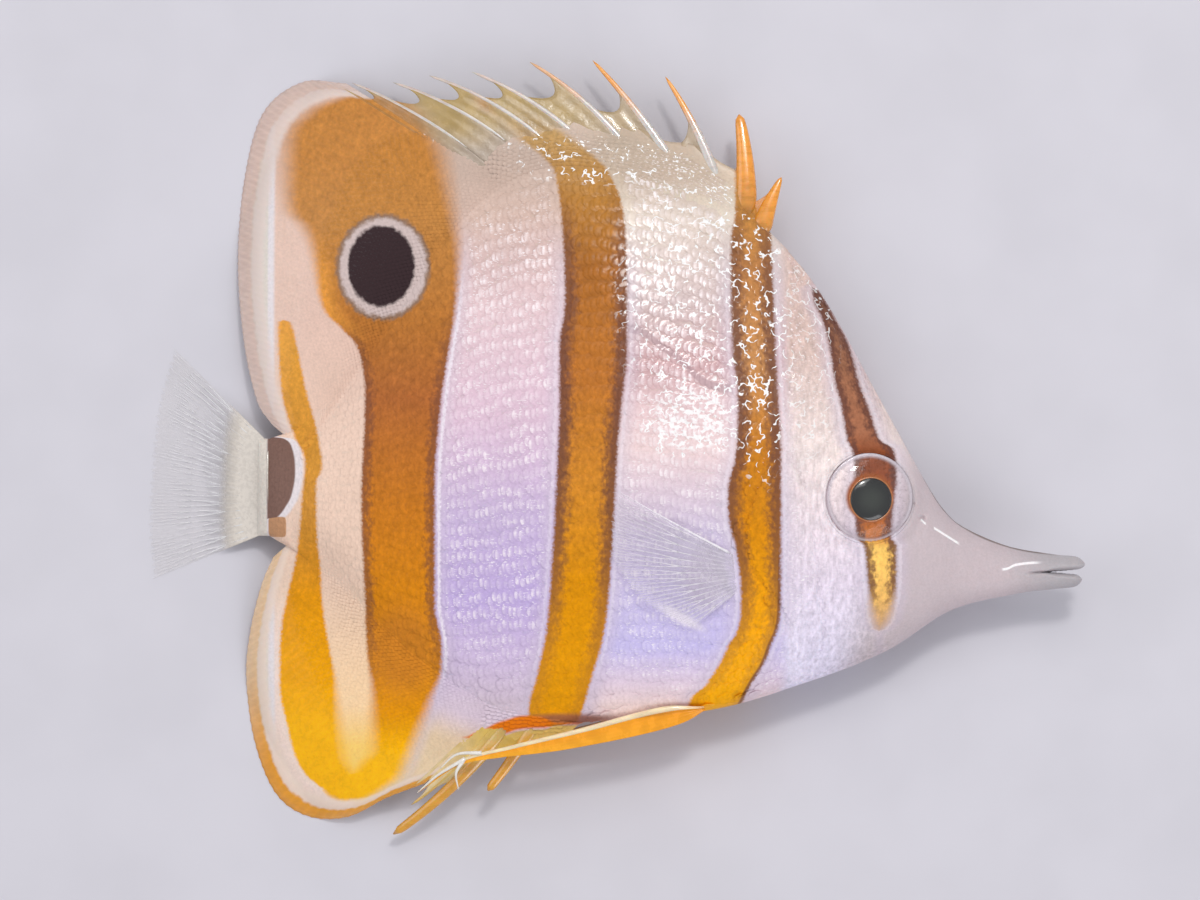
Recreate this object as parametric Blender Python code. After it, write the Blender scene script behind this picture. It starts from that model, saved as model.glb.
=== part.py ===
"""A young copperband butterflyfish at life size, lying on its left side.

Sizes are in millimetres and the finished meshes in metres. X runs forward along the fish,
Y runs up towards its back, and Z points out of its right side, which faces up. Z = 0 is the
level that it lies on. Lists of points run from the front of the fish to its tail.
"""

import math

import bmesh
import bpy
import numpy as np
from mathutils import Matrix, Vector

METRES = 0.001
GAP = 0.3

# The outline of head and body, without fins
BACK_LINE = [
    (28.25, -6.78), (27.65, -6.52), (26.3, -6.38), (23.6, -5.9), (21.0, -4.8), (19.8, -3.8),
    (18.6, -2.0), (15.9, 2.9), (12.2, 9.5), (8.9, 13.3), (5.0, 16.2), (-1.1, 17.9),
    (-5.9, 17.4), (-10.7, 13.8), (-17.7, 3.5), (-19.2, 1.4), (-21.1, 0.6),
]
BELLY_LINE = [
    (28.25, -8.12), (27.6, -8.36), (26.3, -8.5), (24.0, -8.8), (20.1, -9.8), (16.3, -12.2),
    (11.5, -14.1), (5.0, -15.9), (-4.7, -16.5), (-9.5, -15.2), (-14.4, -11.6), (-18.6, -7.0),
    (-21.1, -5.3),
]
HALF_WIDTH = [
    (28.25, 0.5), (27.7, 0.74), (26.9, 0.72), (25.8, 0.84), (23.6, 1.08), (21.0, 1.45),
    (18.6, 2.1), (15.3, 3.05), (12.0, 3.55), (8.0, 3.85), (3.0, 3.9), (-1.0, 3.75),
    (-5.0, 3.35), (-10.0, 2.6), (-16.0, 1.75), (-19.0, 1.35), (-21.1, 1.15),
]
EDGE_AT_FINS = 0.5
EDGE_AT_HEAD = 0.12
WIDEST_SHARE = -0.12
# Power and fullness of a cross-section's curve above and below its widest place, and in the head
CURVE_ABOVE, CURVE_BELOW, CURVE_HEAD = (1.85, 0.85), (2.3, 0.62), (2.0, 0.6)

HEAD_BLEND = (8.0, 19.0)
EDGE_BLEND = (8.5, 12.0)

# How it lies
MIDDLE_HEIGHT = 3.55
SAG_CENTRE = (-1.0, 0.0)
SAG_REACH = (22.0, 19.0)
SAG_START = 0.75
SAG_DEPTH = 5.2
REAR_SAG_FROM = -9.0
REAR_SAG = 0.0435

# Where the body is divided
GILL_LINE = [
    (9.3, 12.9), (10.4, 9.0), (10.5, 4.1), (9.5, -0.1), (8.1, -3.4), (7.8, -5.8),
    (8.4, -7.6), (9.7, -9.2), (10.7, -11.6), (11.9, -14.0),
]
SNOUT_ROOT_X = 19.8
MOUTH_CORNER_X = 25.8
STALK_ROOT_X = -19.0
STALK_END_X = -21.1

# Points down one side of a section, and sections along each part
AROUND = 23
AROUND_JAW = 11
# 0 spaces those points evenly over the height, 1 crowds them at the back and the belly
RIM_SPACING = 0.65
TRUNK_SECTIONS, HEAD_SECTIONS, SNOUT_SECTIONS, STALK_SECTIONS, JAW_SECTIONS = 24, 15, 9, 4, 7

# Jaws
UPPER_JAW_TIP_X = 28.25
LOWER_JAW_TIP_X = 28.05
UPPER_LIP = [(26.1, -7.3), (27.3, -7.28), (28.25, -7.14)]
LOWER_LIP = [(26.1, -7.6), (27.3, -7.66), (28.05, -7.74)]

# Eyes, nostrils and gill covers
EYE_CENTRE = (15.1, -2.95)
EYE_RADIUS = 2.65
EYE_OUTWARDS = 0.65
EYE_INWARDS = 1.3
EYE_SUNK = 0.42
EYE_TILT = math.radians(12)
ORBIT_RADIUS = 3.0
ORBIT_TUBE = 0.36
ORBIT_SUNK = 0.1
OFF_FLOOR = 0.02
NOSTRILS = [(18.35, -4.2), (17.7, -3.3)]
NOSTRIL_RADIUS = 0.24
NOSTRIL_DEPTH = 0.3
DOME_END = 0.05
COVER_INNER = 1.7
BEYOND = 6.0
COVER_FRONT = [
    (9.8, 0.3), (11.2, -2.2), (11.8, -5.4), (12.1, -8.4), (12.4, -10.8), (12.2, -12.2), (11.4, -13.2),
]
COVER_BEHIND = 3.5

# Fin thicknesses, as half thicknesses
MEMBRANE = 0.25
RAY_RIDGE = 0.13
FIN_ROOT = 0.45
FIN_TIP = 0.12

# Spiny fins: root, tip, root radius and bow of each spine, and for each web between two spines
# the shares of the front and rear spine that it reaches
DORSAL_SPINES = [
    ((9.0, 13.3), (9.9, 16.4), 0.42, -0.1), ((8.3, 13.9), (7.3, 20.2), 0.46, 0.25),
    ((7.3, 14.8), (2.9, 22.5), 0.46, 0.4), ((4.9, 16.2), (-1.5, 23.5), 0.44, 0.3),
    ((2.2, 17.1), (-5.3, 23.4), 0.42, 0.6), ((-0.4, 17.7), (-8.8, 22.8), 0.40, 0.65),
    ((-2.8, 17.9), (-11.4, 22.6), 0.38, 0.65), ((-5.0, 17.6), (-13.6, 22.2), 0.36, 0.6),
    ((-7.0, 16.9), (-16.1, 22.2), 0.34, 0.5),
]
DORSAL_WEBS = [
    (0.8, 0.17), (0.68, 0.33), (0.72, 0.33), (0.78, 0.55), (0.88, 0.68), (0.9, 0.7),
    (0.92, 0.76), (0.93, 0.8),
]
ANAL_SPINES = [
    ((-3.2, -16.5), (-7.8, -20.7), 0.46, -0.35), ((-4.7, -16.5), (-13.6, -23.4), 0.5, -0.35),
    ((-6.0, -16.4), (-12.3, -21.4), 0.42, -0.3),
]
ANAL_WEBS = [(0.5, 0.3), (0.66, 0.85)]
SPINE_TIP = 0.12
SPINE_TAPER = 0.75
SPINE_STEPS = 6
WEB_DIP = 0.14
WEB_ROWS = 5
WEB_COLUMNS = 4
SHEATH_HEIGHT = 0.95
SHEATH_HALF = 0.48
SHEATH_STEPS = 20
DORSAL_SHEATH = (10.3, -7.4)
ANAL_SHEATH = (-1.2, -6.45)
# Where each spiny fin's last web ends, close in front of the soft fin's first ray
DORSAL_END = (-16.75, 22.1)
ANAL_END = (-11.75, -20.35)
END_SHARE = 0.97

# Soft fins
SOFT_DORSAL_ROOT = (-7.75, -19.5)
SOFT_DORSAL_EDGE = [
    (-17.3, 22.05), (-19.2, 22.3), (-21.6, 20.4), (-22.75, 16.2), (-23.1, 11.2),
    (-22.7, 6.4), (-21.9, 2.9), (-21.2, 1.7),
]
SOFT_DORSAL_RAYS = 20
SOFT_ANAL_ROOT = (-6.9, -19.6)
SOFT_ANAL_EDGE = [
    (-12.3, -20.2), (-14.0, -21.2), (-16.4, -22.4), (-18.8, -22.4), (-20.8, -21.0),
    (-22.1, -17.8), (-22.6, -13.9), (-22.3, -10.9), (-21.6, -8.2), (-21.1, -6.9),
]
SOFT_ANAL_RAYS = 17
CAUDAL_ROOT = (0.25, -4.95)
CAUDAL_EDGE = [(-27.0, 6.1), (-27.95, 2.9), (-28.4, -1.3), (-28.55, -4.9), (-28.3, -7.95)]
CAUDAL_RAYS = 13
CAUDAL_ROOT_HALF = 0.62
FIN_ROWS = 7

# Paired fins
PECTORAL_ROOT = [(6.55, -6.4), (6.85, -8.7)]
PECTORAL_EDGE = [(0.1, -2.6), (-0.45, -4.3), (-0.4, -6.4), (0.5, -8.1), (2.0, -9.6), (4.5, -10.7)]
PECTORAL_RAYS = 11
PECTORAL_LIFT = 0.3
PECTORAL_ROOT_HALF = 0.3
PECTORAL_BOW = 0.03
BED_CENTRE = (3.2, -6.4)
BED_REACH = (5.0, 5.3)
BED_DEPTH = 1.12
PELVIC_LINE = [
    (5.1, -16.1), (2.0, -16.9), (-2.4, -17.7), (-6.6, -18.3), (-9.6, -19.1), (-12.3, -20.9),
]
# Half its width at even distances along it, and half its thickness at even distances across
PELVIC_WIDTH = [0.3, 0.66, 0.66, 0.5, 0.3, 0.1]
PELVIC_THICKNESS = [0.2, 0.26, 0.3, 0.3, 0.3, 0.26, 0.2]
PELVIC_RIDGE = 0.1
PELVIC_SIDE = 1.2
PELVIC_STEPS = 12


def through(points, steps=14):
    """Points along one smooth curve through the given ones."""
    p = np.array(points, float)
    slope = np.gradient(p, axis=0)
    share = np.linspace(0, 1, steps, endpoint=False)[:, None]
    a, b, c, d = (2 * share**3 - 3 * share**2 + 1, share**3 - 2 * share**2 + share,
                  3 * share**2 - 2 * share**3, share**3 - share**2)
    runs = [a * p[i] + b * slope[i] + c * p[i + 1] + d * slope[i + 1] for i in range(len(p) - 1)]
    return np.vstack([*runs, p[-1:]])


def evenly(points, count):
    """That many points at even distances along a smooth curve through the given ones."""
    line = through(points)
    along = np.concatenate([[0], np.cumsum(np.linalg.norm(np.diff(line, axis=0), axis=1))])
    at = np.linspace(0, along[-1], count)
    return np.column_stack([np.interp(at, along, line[:, k]) for k in range(line.shape[1])])


def graph(points):
    """A function that reads the second coordinate of a smooth curve from the first."""
    line = through(points)
    line = line[np.argsort(line[:, 0])]
    return lambda value: np.interp(value, line[:, 0], line[:, 1])


def ramp(value, low, high):
    """0 below low, 1 above high and a smooth step between."""
    share = np.clip((value - low) / (high - low), 0, 1)
    return share * share * (3 - 2 * share)


back = graph(BACK_LINE)
belly = graph(BELLY_LINE)
half_width = graph(HALF_WIDTH)
gill_x = graph([(y, x) for x, y in GILL_LINE])


def roundness(x, share):
    """How much of the half width is left at a share of the height, 1 the back and -1 the belly."""
    above = share > WIDEST_SHARE
    off = np.where(above, (share - WIDEST_SHARE) / (1 - WIDEST_SHARE),
                   (WIDEST_SHARE - share) / (1 + WIDEST_SHARE))
    head = ramp(x, *HEAD_BLEND)
    power = np.where(above, CURVE_ABOVE[0], CURVE_BELOW[0]) * (1 - head) + CURVE_HEAD[0] * head
    fullness = np.where(above, CURVE_ABOVE[1], CURVE_BELOW[1]) * (1 - head) + CURVE_HEAD[1] * head
    return np.maximum(1 - np.clip(off, 0, 1) ** power, 0) ** fullness


def half_thickness(x, share):
    """Half the thickness of head or body at x and a share of its height."""
    edge = EDGE_AT_FINS + (EDGE_AT_HEAD - EDGE_AT_FINS) * ramp(x, *EDGE_BLEND)
    return edge + (half_width(x) - edge) * roundness(x, share)


def middle(x, y):
    """Height of the fish's middle plane: level at the body, and the rear and the fins sag."""
    out_x = np.minimum(x - SAG_CENTRE[0], 0) / SAG_REACH[0]
    out_y = (y - SAG_CENTRE[1]) / SAG_REACH[1]
    beyond = np.maximum(np.hypot(out_x, out_y) - SAG_START, 0)
    rear = np.maximum(REAR_SAG_FROM - x, 0)
    return MIDDLE_HEIGHT - SAG_DEPTH * beyond**2 - REAR_SAG * rear**1.5


def bed(x, y):
    """Height of the hollow that the lower pectoral fin presses into the flank, 0 elsewhere."""
    away = np.hypot((x - BED_CENTRE[0]) / BED_REACH[0], (y - BED_CENTRE[1]) / BED_REACH[1])
    return BED_DEPTH * (1 - ramp(away, 1.0, 1.3))


def flank(x, y):
    """Half thickness of the body at a place seen from the side."""
    share = 2 * (y - belly(x)) / (back(x) - belly(x)) - 1
    return half_thickness(x, np.clip(share, -1, 1))


def mesh_object(name, vertices, faces):
    """An object in millimetres with its faces turned outwards."""
    mesh = bpy.data.meshes.new(name)
    mesh.from_pydata([tuple(map(float, v)) for v in vertices], [], [tuple(map(int, f)) for f in faces])
    shaped = bmesh.new()
    shaped.from_mesh(mesh)
    bmesh.ops.recalc_face_normals(shaped, faces=shaped.faces)
    bmesh.ops.triangulate(shaped, faces=[f for f in shaped.faces if len(f.verts) > 4])
    shaped.to_mesh(mesh)
    shaped.free()
    made = bpy.data.objects.new(name, mesh)
    bpy.context.scene.collection.objects.link(made)
    return made


def loft(name, rings):
    """A closed body through rings of points, each ring a right side and the left side back again."""
    rings = np.asarray(rings, float)
    count, around = rings.shape[:2]
    side = around // 2
    faces = []
    for i in range(count - 1):
        for k in range(around):
            a, b = i * around + k, i * around + (k + 1) % around
            faces += [(a, b, b + around), (a, b + around, a + around)]
    for first, flip in ((0, False), ((count - 1) * around, True)):
        for k in range(side - 1):
            quad = (first + k, first + k + 1, first + around - 2 - k, first + around - 1 - k)
            faces.append(quad[::-1] if flip else quad)
    return mesh_object(name, rings.reshape(-1, 3), faces)


def section(front, rear, top, bottom, share, around):
    """One ring of the body, a share of the way from its front limit to its rear one."""
    even = np.linspace(1, -1, around)
    part = even + RIM_SPACING * (np.sin(0.5 * math.pi * even) - even)
    x = np.full(around, 0.5 * (front(0.0) + rear(0.0)))
    for _ in range(40):
        y = bottom(x) + 0.5 * (part + 1) * (top(x) - bottom(x))
        x = (1 - share) * front(y) + share * rear(y)
    whole = np.clip(2 * (y - belly(x)) / (back(x) - belly(x)) - 1, -1, 1)
    return x, y, half_thickness(x, whole), part


def body_part(name, front, rear, stations, around=AROUND, top=back, bottom=belly, rounded=False):
    """A length of head or body between two limits, each an x for every height y."""
    rings = []
    for share in np.linspace(0, 1, stations):
        x, y, half, part = section(front, rear, top, bottom, share, around)
        if rounded:
            half = half * (0.35 + 0.65 * np.sqrt(1 - part**4))
        centre = middle(x, y)
        under = np.maximum(centre - half, np.maximum(bed(x, y), 0.0))
        right = np.column_stack([x, y, centre + half])
        left = np.column_stack([x, y, under])[::-1]
        rings.append(np.vstack([right, left]))
    return loft(name, rings)


def at(x):
    """A flat limit across the body."""
    return lambda y: np.full_like(np.asarray(y, float), x)


def gill_edge(offset=0.0):
    """The limit of the head along the gill covers' rear edge."""
    return lambda y: gill_x(y) + offset


def sheet(name, columns, halves, height=None):
    """A thin closed fin: columns of points from root to edge, with half thicknesses about a height.

    Where it sags as far as the floor, it lies on it.
    """
    columns, halves = np.asarray(columns, float), np.asarray(halves, float)
    across, rows = halves.shape
    x, y = columns[..., 0], columns[..., 1]
    centre = np.maximum(middle(x, y), halves) if height is None else height
    upper = np.dstack([x, y, centre + halves]).reshape(-1, 3)
    lower = np.dstack([x, y, centre - halves]).reshape(-1, 3)
    total = across * rows
    faces = []
    for i in range(across - 1):
        for k in range(rows - 1):
            a, b = i * rows + k, (i + 1) * rows + k
            for one in ((a, b, b + 1), (a, b + 1, a + 1)):
                faces += [one, tuple(v + total for v in one[::-1])]
    rim = [i * rows for i in range(across)]
    rim += [(across - 1) * rows + k for k in range(1, rows)]
    rim += [i * rows + rows - 1 for i in range(across - 2, -1, -1)]
    rim += [k for k in range(rows - 2, 0, -1)]
    for a, b in zip(rim, rim[1:] + rim[:1]):
        faces += [(b, a, a + total), (b, a + total, b + total)]
    return mesh_object(name, np.vstack([upper, lower]), faces)


def off_body(line, xs, outwards):
    """Points along the back or belly line, moved out by so many times the gap between pieces."""
    y = line(xs)
    slope = (line(xs + 0.05) - line(xs - 0.05)) / 0.1
    normal = np.column_stack([-slope, np.ones_like(slope)]) / np.hypot(slope, 1)[:, None]
    return np.column_stack([xs, y]) + GAP * np.reshape(outwards, (-1, 1)) * normal


def spaced_along(line, first, last, count):
    """Places in x at even distances along the back or belly line."""
    xs = np.linspace(first, last, 200)
    along = np.concatenate([[0], np.cumsum(np.hypot(np.diff(xs), np.diff(line(xs))))])
    return np.interp(np.linspace(0, along[-1], count), along, xs)


def soft_fin(name, root, edge, rays, root_half=FIN_ROOT, bow=0.0, height=None):
    """A fin of soft rays: each ray is a ridge in the membrane from root to edge."""
    across = 2 * rays + 1
    down = np.linspace(0, 1, FIN_ROWS)
    side = np.column_stack([-(edge - root)[:, 1], (edge - root)[:, 0]])
    columns = (root[:, None, :] * (1 - down)[None, :, None] + edge[:, None, :] * down[None, :, None]
               + bow * (side[:, None, :] * (down * (1 - down))[None, :, None]))
    ridge = (np.arange(across) % 2)[:, None] * RAY_RIDGE * (1 - 0.5 * down)[None, :]
    flat = MEMBRANE + (root_half - MEMBRANE) * (1 - down)[None, :] ** 2
    halves = flat + ridge
    halves[:, -1] = FIN_TIP
    return sheet(name, columns, halves, None if height is None else height(columns))


def spine_line(root, tip, bow, shares):
    """Points of a bowed spine at shares of its length."""
    root, tip = np.array(root), np.array(tip)
    along = tip - root
    across = np.array([along[1], -along[0]]) / np.linalg.norm(along)
    shares = np.asarray(shares)[:, None]
    return root + along * shares + across * bow * 4 * shares * (1 - shares)


def membrane_half(down):
    """Half thickness of the membrane between spines, from root to edge."""
    half = MEMBRANE + (FIN_ROOT - MEMBRANE) * (1 - down) ** 2
    half[-1] = FIN_TIP
    return half


def spine(points, radius, sides=6):
    """One spine: a round bar that narrows along points in the middle plane and ends closed."""
    points = np.asarray(points)
    centre = np.column_stack([points, middle(points[:, 0], points[:, 1])])
    run = np.gradient(centre, axis=0)
    run /= np.linalg.norm(run, axis=1)[:, None]
    across = np.cross(run, (0.0, 0.0, 1.0))
    across /= np.linalg.norm(across, axis=1)[:, None]
    up = np.cross(across, run)
    share = np.linspace(0, 1, len(points))
    thick = (SPINE_TIP + (radius - SPINE_TIP) * (1 - share) ** SPINE_TAPER)[:, None]
    turns = 2 * math.pi * np.arange(sides) / sides
    rings = np.stack([centre + thick * (math.cos(t) * across + math.sin(t) * up) for t in turns], axis=1)
    faces = [tuple(range(sides)), tuple((len(points) - 1) * sides + k for k in range(sides))]
    for i in range(len(points) - 1):
        for k in range(sides):
            a, b = i * sides + k, i * sides + (k + 1) % sides
            faces += [(a, b, b + sides), (a, b + sides, a + sides)]
    return mesh_object("spine", rings.reshape(-1, 3), faces)


def spiny_fin(name, spines, webs, sheath, end, line, outwards):
    """Spines that stand in a sheath along the body, with webs between them and one behind them."""
    down = np.linspace(0, 1, WEB_ROWS)
    xs = spaced_along(line, *sheath, SHEATH_STEPS)
    rise = SHEATH_HEIGHT / GAP * (0.3 + 0.7 * ramp(np.linspace(0, 1, len(xs)), 0, 0.15))
    low = off_body(line, xs, outwards)
    high = off_body(line, xs, outwards * (1 + rise))
    columns = np.stack([low, 0.5 * (low + high), high], axis=1)
    halves = np.tile([SHEATH_HALF, SHEATH_HALF, 0.7 * SHEATH_HALF], (len(xs), 1))
    fin = sheet(name, columns, halves)
    lines, pieces = [], []
    for root, tip, radius, bow in spines:
        foot = off_body(line, np.array([root[0]]), outwards * (1 + 0.6 * SHEATH_HEIGHT / GAP))[0]
        lines.append((foot, tip, bow))
        pieces.append(spine(spine_line(foot, tip, bow, np.linspace(0, 1, SPINE_STEPS)), radius))
    last = off_body(line, np.array([sheath[1]]), outwards * 2)[0]
    lines.append((last, end, 0.0))
    for ahead, behind, (leaves, meets) in zip(lines, lines[1:], [*webs, (END_SHARE, 1.0)]):
        columns = []
        for share in np.linspace(0.04, 0.96, WEB_COLUMNS):
            kept = down * (1 - WEB_DIP * 4 * share * (1 - share))
            columns.append((1 - share) * spine_line(*ahead, kept * leaves)
                           + share * spine_line(*behind, kept * meets))
        pieces.append(sheet("web", columns, np.tile(membrane_half(down), (WEB_COLUMNS, 1))))
    return combine(fin, pieces, "UNION")


def turned(name, place, side, profile, tilt=0.0, around=20):
    """A closed turned body: radii and heights of its profile, set on the fish's right or left side."""
    turn = Matrix.Translation(place) @ Matrix.Rotation(side * tilt, 4, "Y")
    angles = 2 * math.pi * np.arange(around) / around
    vertices, faces = [], []
    for radius, height in profile:
        vertices += [turn @ Vector((radius * math.cos(t), radius * math.sin(t), side * height))
                     for t in angles]
    for i in range(len(profile) - 1):
        for k in range(around):
            a, b = i * around + k, i * around + (k + 1) % around
            faces += [(a, b, b + around), (a, b + around, a + around)]
    last = (len(profile) - 1) * around
    faces += [tuple(range(around)), tuple(range(last, last + around))]
    return mesh_object(name, vertices, faces)


def dome(radius, outwards, inwards, steps=5):
    """Profile of a flattened ball from its inner end to its outer one, both cut off very small."""
    bends = [math.pi / 2 * k / steps for k in range(-steps, steps + 1)]
    return [(radius * max(math.cos(t), DOME_END), (outwards if t > 0 else inwards) * math.sin(t))
            for t in bends]


def ring(name, centre, radius, tube, tilt, around=20, sides=6):
    """A closed ring, for the rim of an eye's socket, tilted with the cheek and kept off the floor."""
    turn = Matrix.Translation(centre) @ Matrix.Rotation(tilt, 4, "Y")
    vertices, faces = [], []
    for i in range(around):
        angle = 2 * math.pi * i / around
        for k in range(sides):
            bend = 2 * math.pi * k / sides
            reach = radius + tube * math.cos(bend)
            spot = turn @ Vector((reach * math.cos(angle), reach * math.sin(angle), tube * math.sin(bend)))
            vertices.append((spot.x, spot.y, max(spot.z, OFF_FLOOR)))
            here, there = i * sides, (i + 1) % around * sides
            faces.append((here + k, there + k, there + (k + 1) % sides, here + (k + 1) % sides))
    return mesh_object(name, vertices, faces)


def prism(name, outline, low, high):
    """An outline seen from the side, raised between two levels of z."""
    count = len(outline)
    vertices = [(x, y, low) for x, y in outline] + [(x, y, high) for x, y in outline]
    faces = [tuple(range(count))[::-1], tuple(range(count, 2 * count))]
    faces += [(i, (i + 1) % count, (i + 1) % count + count, i + count) for i in range(count)]
    return mesh_object(name, vertices, faces)


def combine(target, others, operation):
    """Joins, cuts or keeps what is shared with a collection of closed pieces, and removes them."""
    group = bpy.data.collections.new("pieces")
    for piece in others:
        group.objects.link(piece)
    step = target.modifiers.new("combine", "BOOLEAN")
    step.operation = operation
    step.operand_type = "COLLECTION"
    step.collection = group
    step.solver = "EXACT"
    apply_modifiers(target)
    for piece in others:
        bpy.data.objects.remove(piece)
    bpy.data.collections.remove(group)
    keep_largest(target)
    return target


def apply_modifiers(target):
    """Puts what an object's modifiers make into its own mesh."""
    bpy.context.view_layer.update()
    shaped = target.evaluated_get(bpy.context.evaluated_depsgraph_get())
    mesh = bpy.data.meshes.new_from_object(shaped)
    target.modifiers.clear()
    target.data = mesh


def keep_largest(target):
    """Leaves only the largest closed surface of a mesh."""
    shaped = bmesh.new()
    shaped.from_mesh(target.data)
    unseen, groups = set(shaped.verts), []
    while unseen:
        queue, group = [unseen.pop()], set()
        while queue:
            vertex = queue.pop()
            group.add(vertex)
            for edge in vertex.link_edges:
                other = edge.other_vert(vertex)
                if other in unseen:
                    unseen.remove(other)
                    queue.append(other)
        groups.append(group)
    groups.sort(key=len, reverse=True)
    scraps = [vertex for group in groups[1:] for vertex in group]
    bmesh.ops.delete(shaped, geom=scraps, context="VERTS")
    bmesh.ops.triangulate(shaped, faces=shaped.faces)
    shaped.to_mesh(target.data)
    shaped.free()


def material(name, colour, roughness=0.35):
    """A plain finish for one kind of piece."""
    made = bpy.data.materials.new(name)
    made.use_nodes = True
    surface = made.node_tree.nodes["Principled BSDF"]
    surface.inputs["Base Color"].default_value = (*colour, 1.0)
    surface.inputs["Roughness"].default_value = roughness
    surface.inputs["Metallic"].default_value = 0.0
    return made


def make_trunk():
    """The trunk, from the gill covers to the tail stalk."""
    return body_part("trunk", gill_edge(-GAP), at(STALK_ROOT_X + GAP / 2), TRUNK_SECTIONS)


def make_tail_stalk():
    """The short stalk that carries the tail fin."""
    return body_part("tail_stalk", at(STALK_ROOT_X - GAP / 2), at(STALK_END_X), STALK_SECTIONS)


def cover_outline(grow):
    """The outline of a gill cover, open behind the head's rear edge."""
    front = through(COVER_FRONT, 4) + (grow, 0)
    front[0] += (-grow, grow)
    front[-1] += (-grow, -grow)
    return [*map(tuple, front), (COVER_BEHIND, front[-1][1]), (COVER_BEHIND, front[0][1])]


def make_head():
    """The head and its two gill covers, with sockets for the eyes and pits for the nostrils."""
    whole = body_part("head", at(SNOUT_ROOT_X), gill_edge(), HEAD_SECTIONS)
    centre = float(middle(*EYE_CENTRE))
    wide = EYE_RADIUS + GAP
    deep = [spot for spot in dome(wide, EYE_OUTWARDS, EYE_INWARDS + GAP) if spot[1] <= 0]
    pit = dome(NOSTRIL_RADIUS, NOSTRIL_DEPTH, NOSTRIL_DEPTH, 2)
    rims, cutters, covers = [], [], []
    for side in (1, -1):
        level = centre + side * (half_thickness_at(EYE_CENTRE) - ORBIT_SUNK)
        rims.append(ring("rim", (*EYE_CENTRE, level), ORBIT_RADIUS, ORBIT_TUBE, side * EYE_TILT))
    combine(whole, rims, "UNION")
    for side in (1, -1):
        shell = bpy.data.objects.new("cover", whole.data.copy())
        bpy.context.scene.collection.objects.link(shell)
        low, high = sorted((centre + side * COVER_INNER, centre + side * BEYOND))
        keep = prism("keep", cover_outline(0.0), low, high)
        shell.name = "gill_cover_right" if side > 0 else "gill_cover_left"
        covers.append(combine(shell, [keep], "INTERSECT"))
        low, high = sorted((centre + side * (COVER_INNER - GAP), centre + side * BEYOND))
        cutters.append(prism("cut", cover_outline(GAP), low, high))
        cutters.append(turned("socket", eye_place(side), side, [*deep, (wide, BEYOND)], EYE_TILT))
        for spot in NOSTRILS:
            place = (*spot, centre + side * half_thickness_at(spot))
            cutters.append(turned("pit", place, side, pit, 0.0, 8))
    combine(whole, cutters, "DIFFERENCE")
    return [whole, *covers]


def half_thickness_at(place):
    """Half the head's thickness at a place seen from the side."""
    return float(flank(np.array([place[0]]), np.array([place[1]]))[0])


def eye_place(side):
    """The middle of an eye, a little below the surface of the cheek."""
    return (*EYE_CENTRE, float(middle(*EYE_CENTRE)) + side * (half_thickness_at(EYE_CENTRE) - EYE_SUNK))


def make_eyes():
    """Two eyes, flattened balls set into the head."""
    profile = dome(EYE_RADIUS, EYE_OUTWARDS, EYE_INWARDS)
    return [turned(name, eye_place(side), side, profile, EYE_TILT, 24)
            for name, side in (("eye_right", 1), ("eye_left", -1))]


def make_snout_and_jaws():
    """The long snout and the two short jaws at its end, a little open."""
    snout = body_part("snout", at(MOUTH_CORNER_X), at(SNOUT_ROOT_X + GAP), SNOUT_SECTIONS)
    root = at(MOUTH_CORNER_X + GAP)
    upper = body_part("upper_jaw", at(UPPER_JAW_TIP_X), root, JAW_SECTIONS, AROUND_JAW,
                      back, graph(UPPER_LIP), True)
    lower = body_part("lower_jaw", at(LOWER_JAW_TIP_X), root, JAW_SECTIONS, AROUND_JAW,
                      graph(LOWER_LIP), belly, True)
    return [snout, upper, lower]


def fin_along(name, line, outwards, reach, edge, rays):
    """A soft fin that stands along the back or belly line."""
    count = 2 * rays + 1
    root = off_body(line, spaced_along(line, *reach, count), outwards)
    return soft_fin(name, root, evenly(edge, count), rays)


def make_median_fins():
    """The fins along the back, the belly and the tail."""
    made = [
        spiny_fin("dorsal_fin_spines", DORSAL_SPINES, DORSAL_WEBS, DORSAL_SHEATH, DORSAL_END, back, 1),
        fin_along("dorsal_fin_soft", back, 1, SOFT_DORSAL_ROOT, SOFT_DORSAL_EDGE, SOFT_DORSAL_RAYS),
        spiny_fin("anal_fin_spines", ANAL_SPINES, ANAL_WEBS, ANAL_SHEATH, ANAL_END, belly, -1),
        fin_along("anal_fin_soft", belly, -1, SOFT_ANAL_ROOT, SOFT_ANAL_EDGE, SOFT_ANAL_RAYS),
    ]
    count = 2 * CAUDAL_RAYS + 1
    root = np.column_stack([np.full(count, STALK_END_X - GAP), np.linspace(*CAUDAL_ROOT, count)])
    tail = soft_fin("tail_fin", root, evenly(CAUDAL_EDGE, count), CAUDAL_RAYS, CAUDAL_ROOT_HALF)
    return [*made, tail]


def make_pectoral_fins():
    """The fins behind the gill covers: the upper one lifts off the flank, the lower one lies under it."""
    count = 2 * PECTORAL_RAYS + 1
    root = np.linspace(*np.array(PECTORAL_ROOT), count)
    edge = evenly(PECTORAL_EDGE, count)
    clear = GAP + MEMBRANE + RAY_RIDGE

    def lifted(columns):
        x, y = columns[..., 0], columns[..., 1]
        out = np.linspace(0, 1, columns.shape[1])[None, :]
        return middle(x, y) + flank(x, y) + clear + PECTORAL_LIFT * out**1.5

    def pressed(columns):
        return np.full(columns.shape[:2], BED_DEPTH - clear)

    return [soft_fin(name, root, edge, PECTORAL_RAYS, PECTORAL_ROOT_HALF, PECTORAL_BOW, height)
            for name, height in (("pectoral_fin_right", lifted), ("pectoral_fin_left", pressed))]


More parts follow.
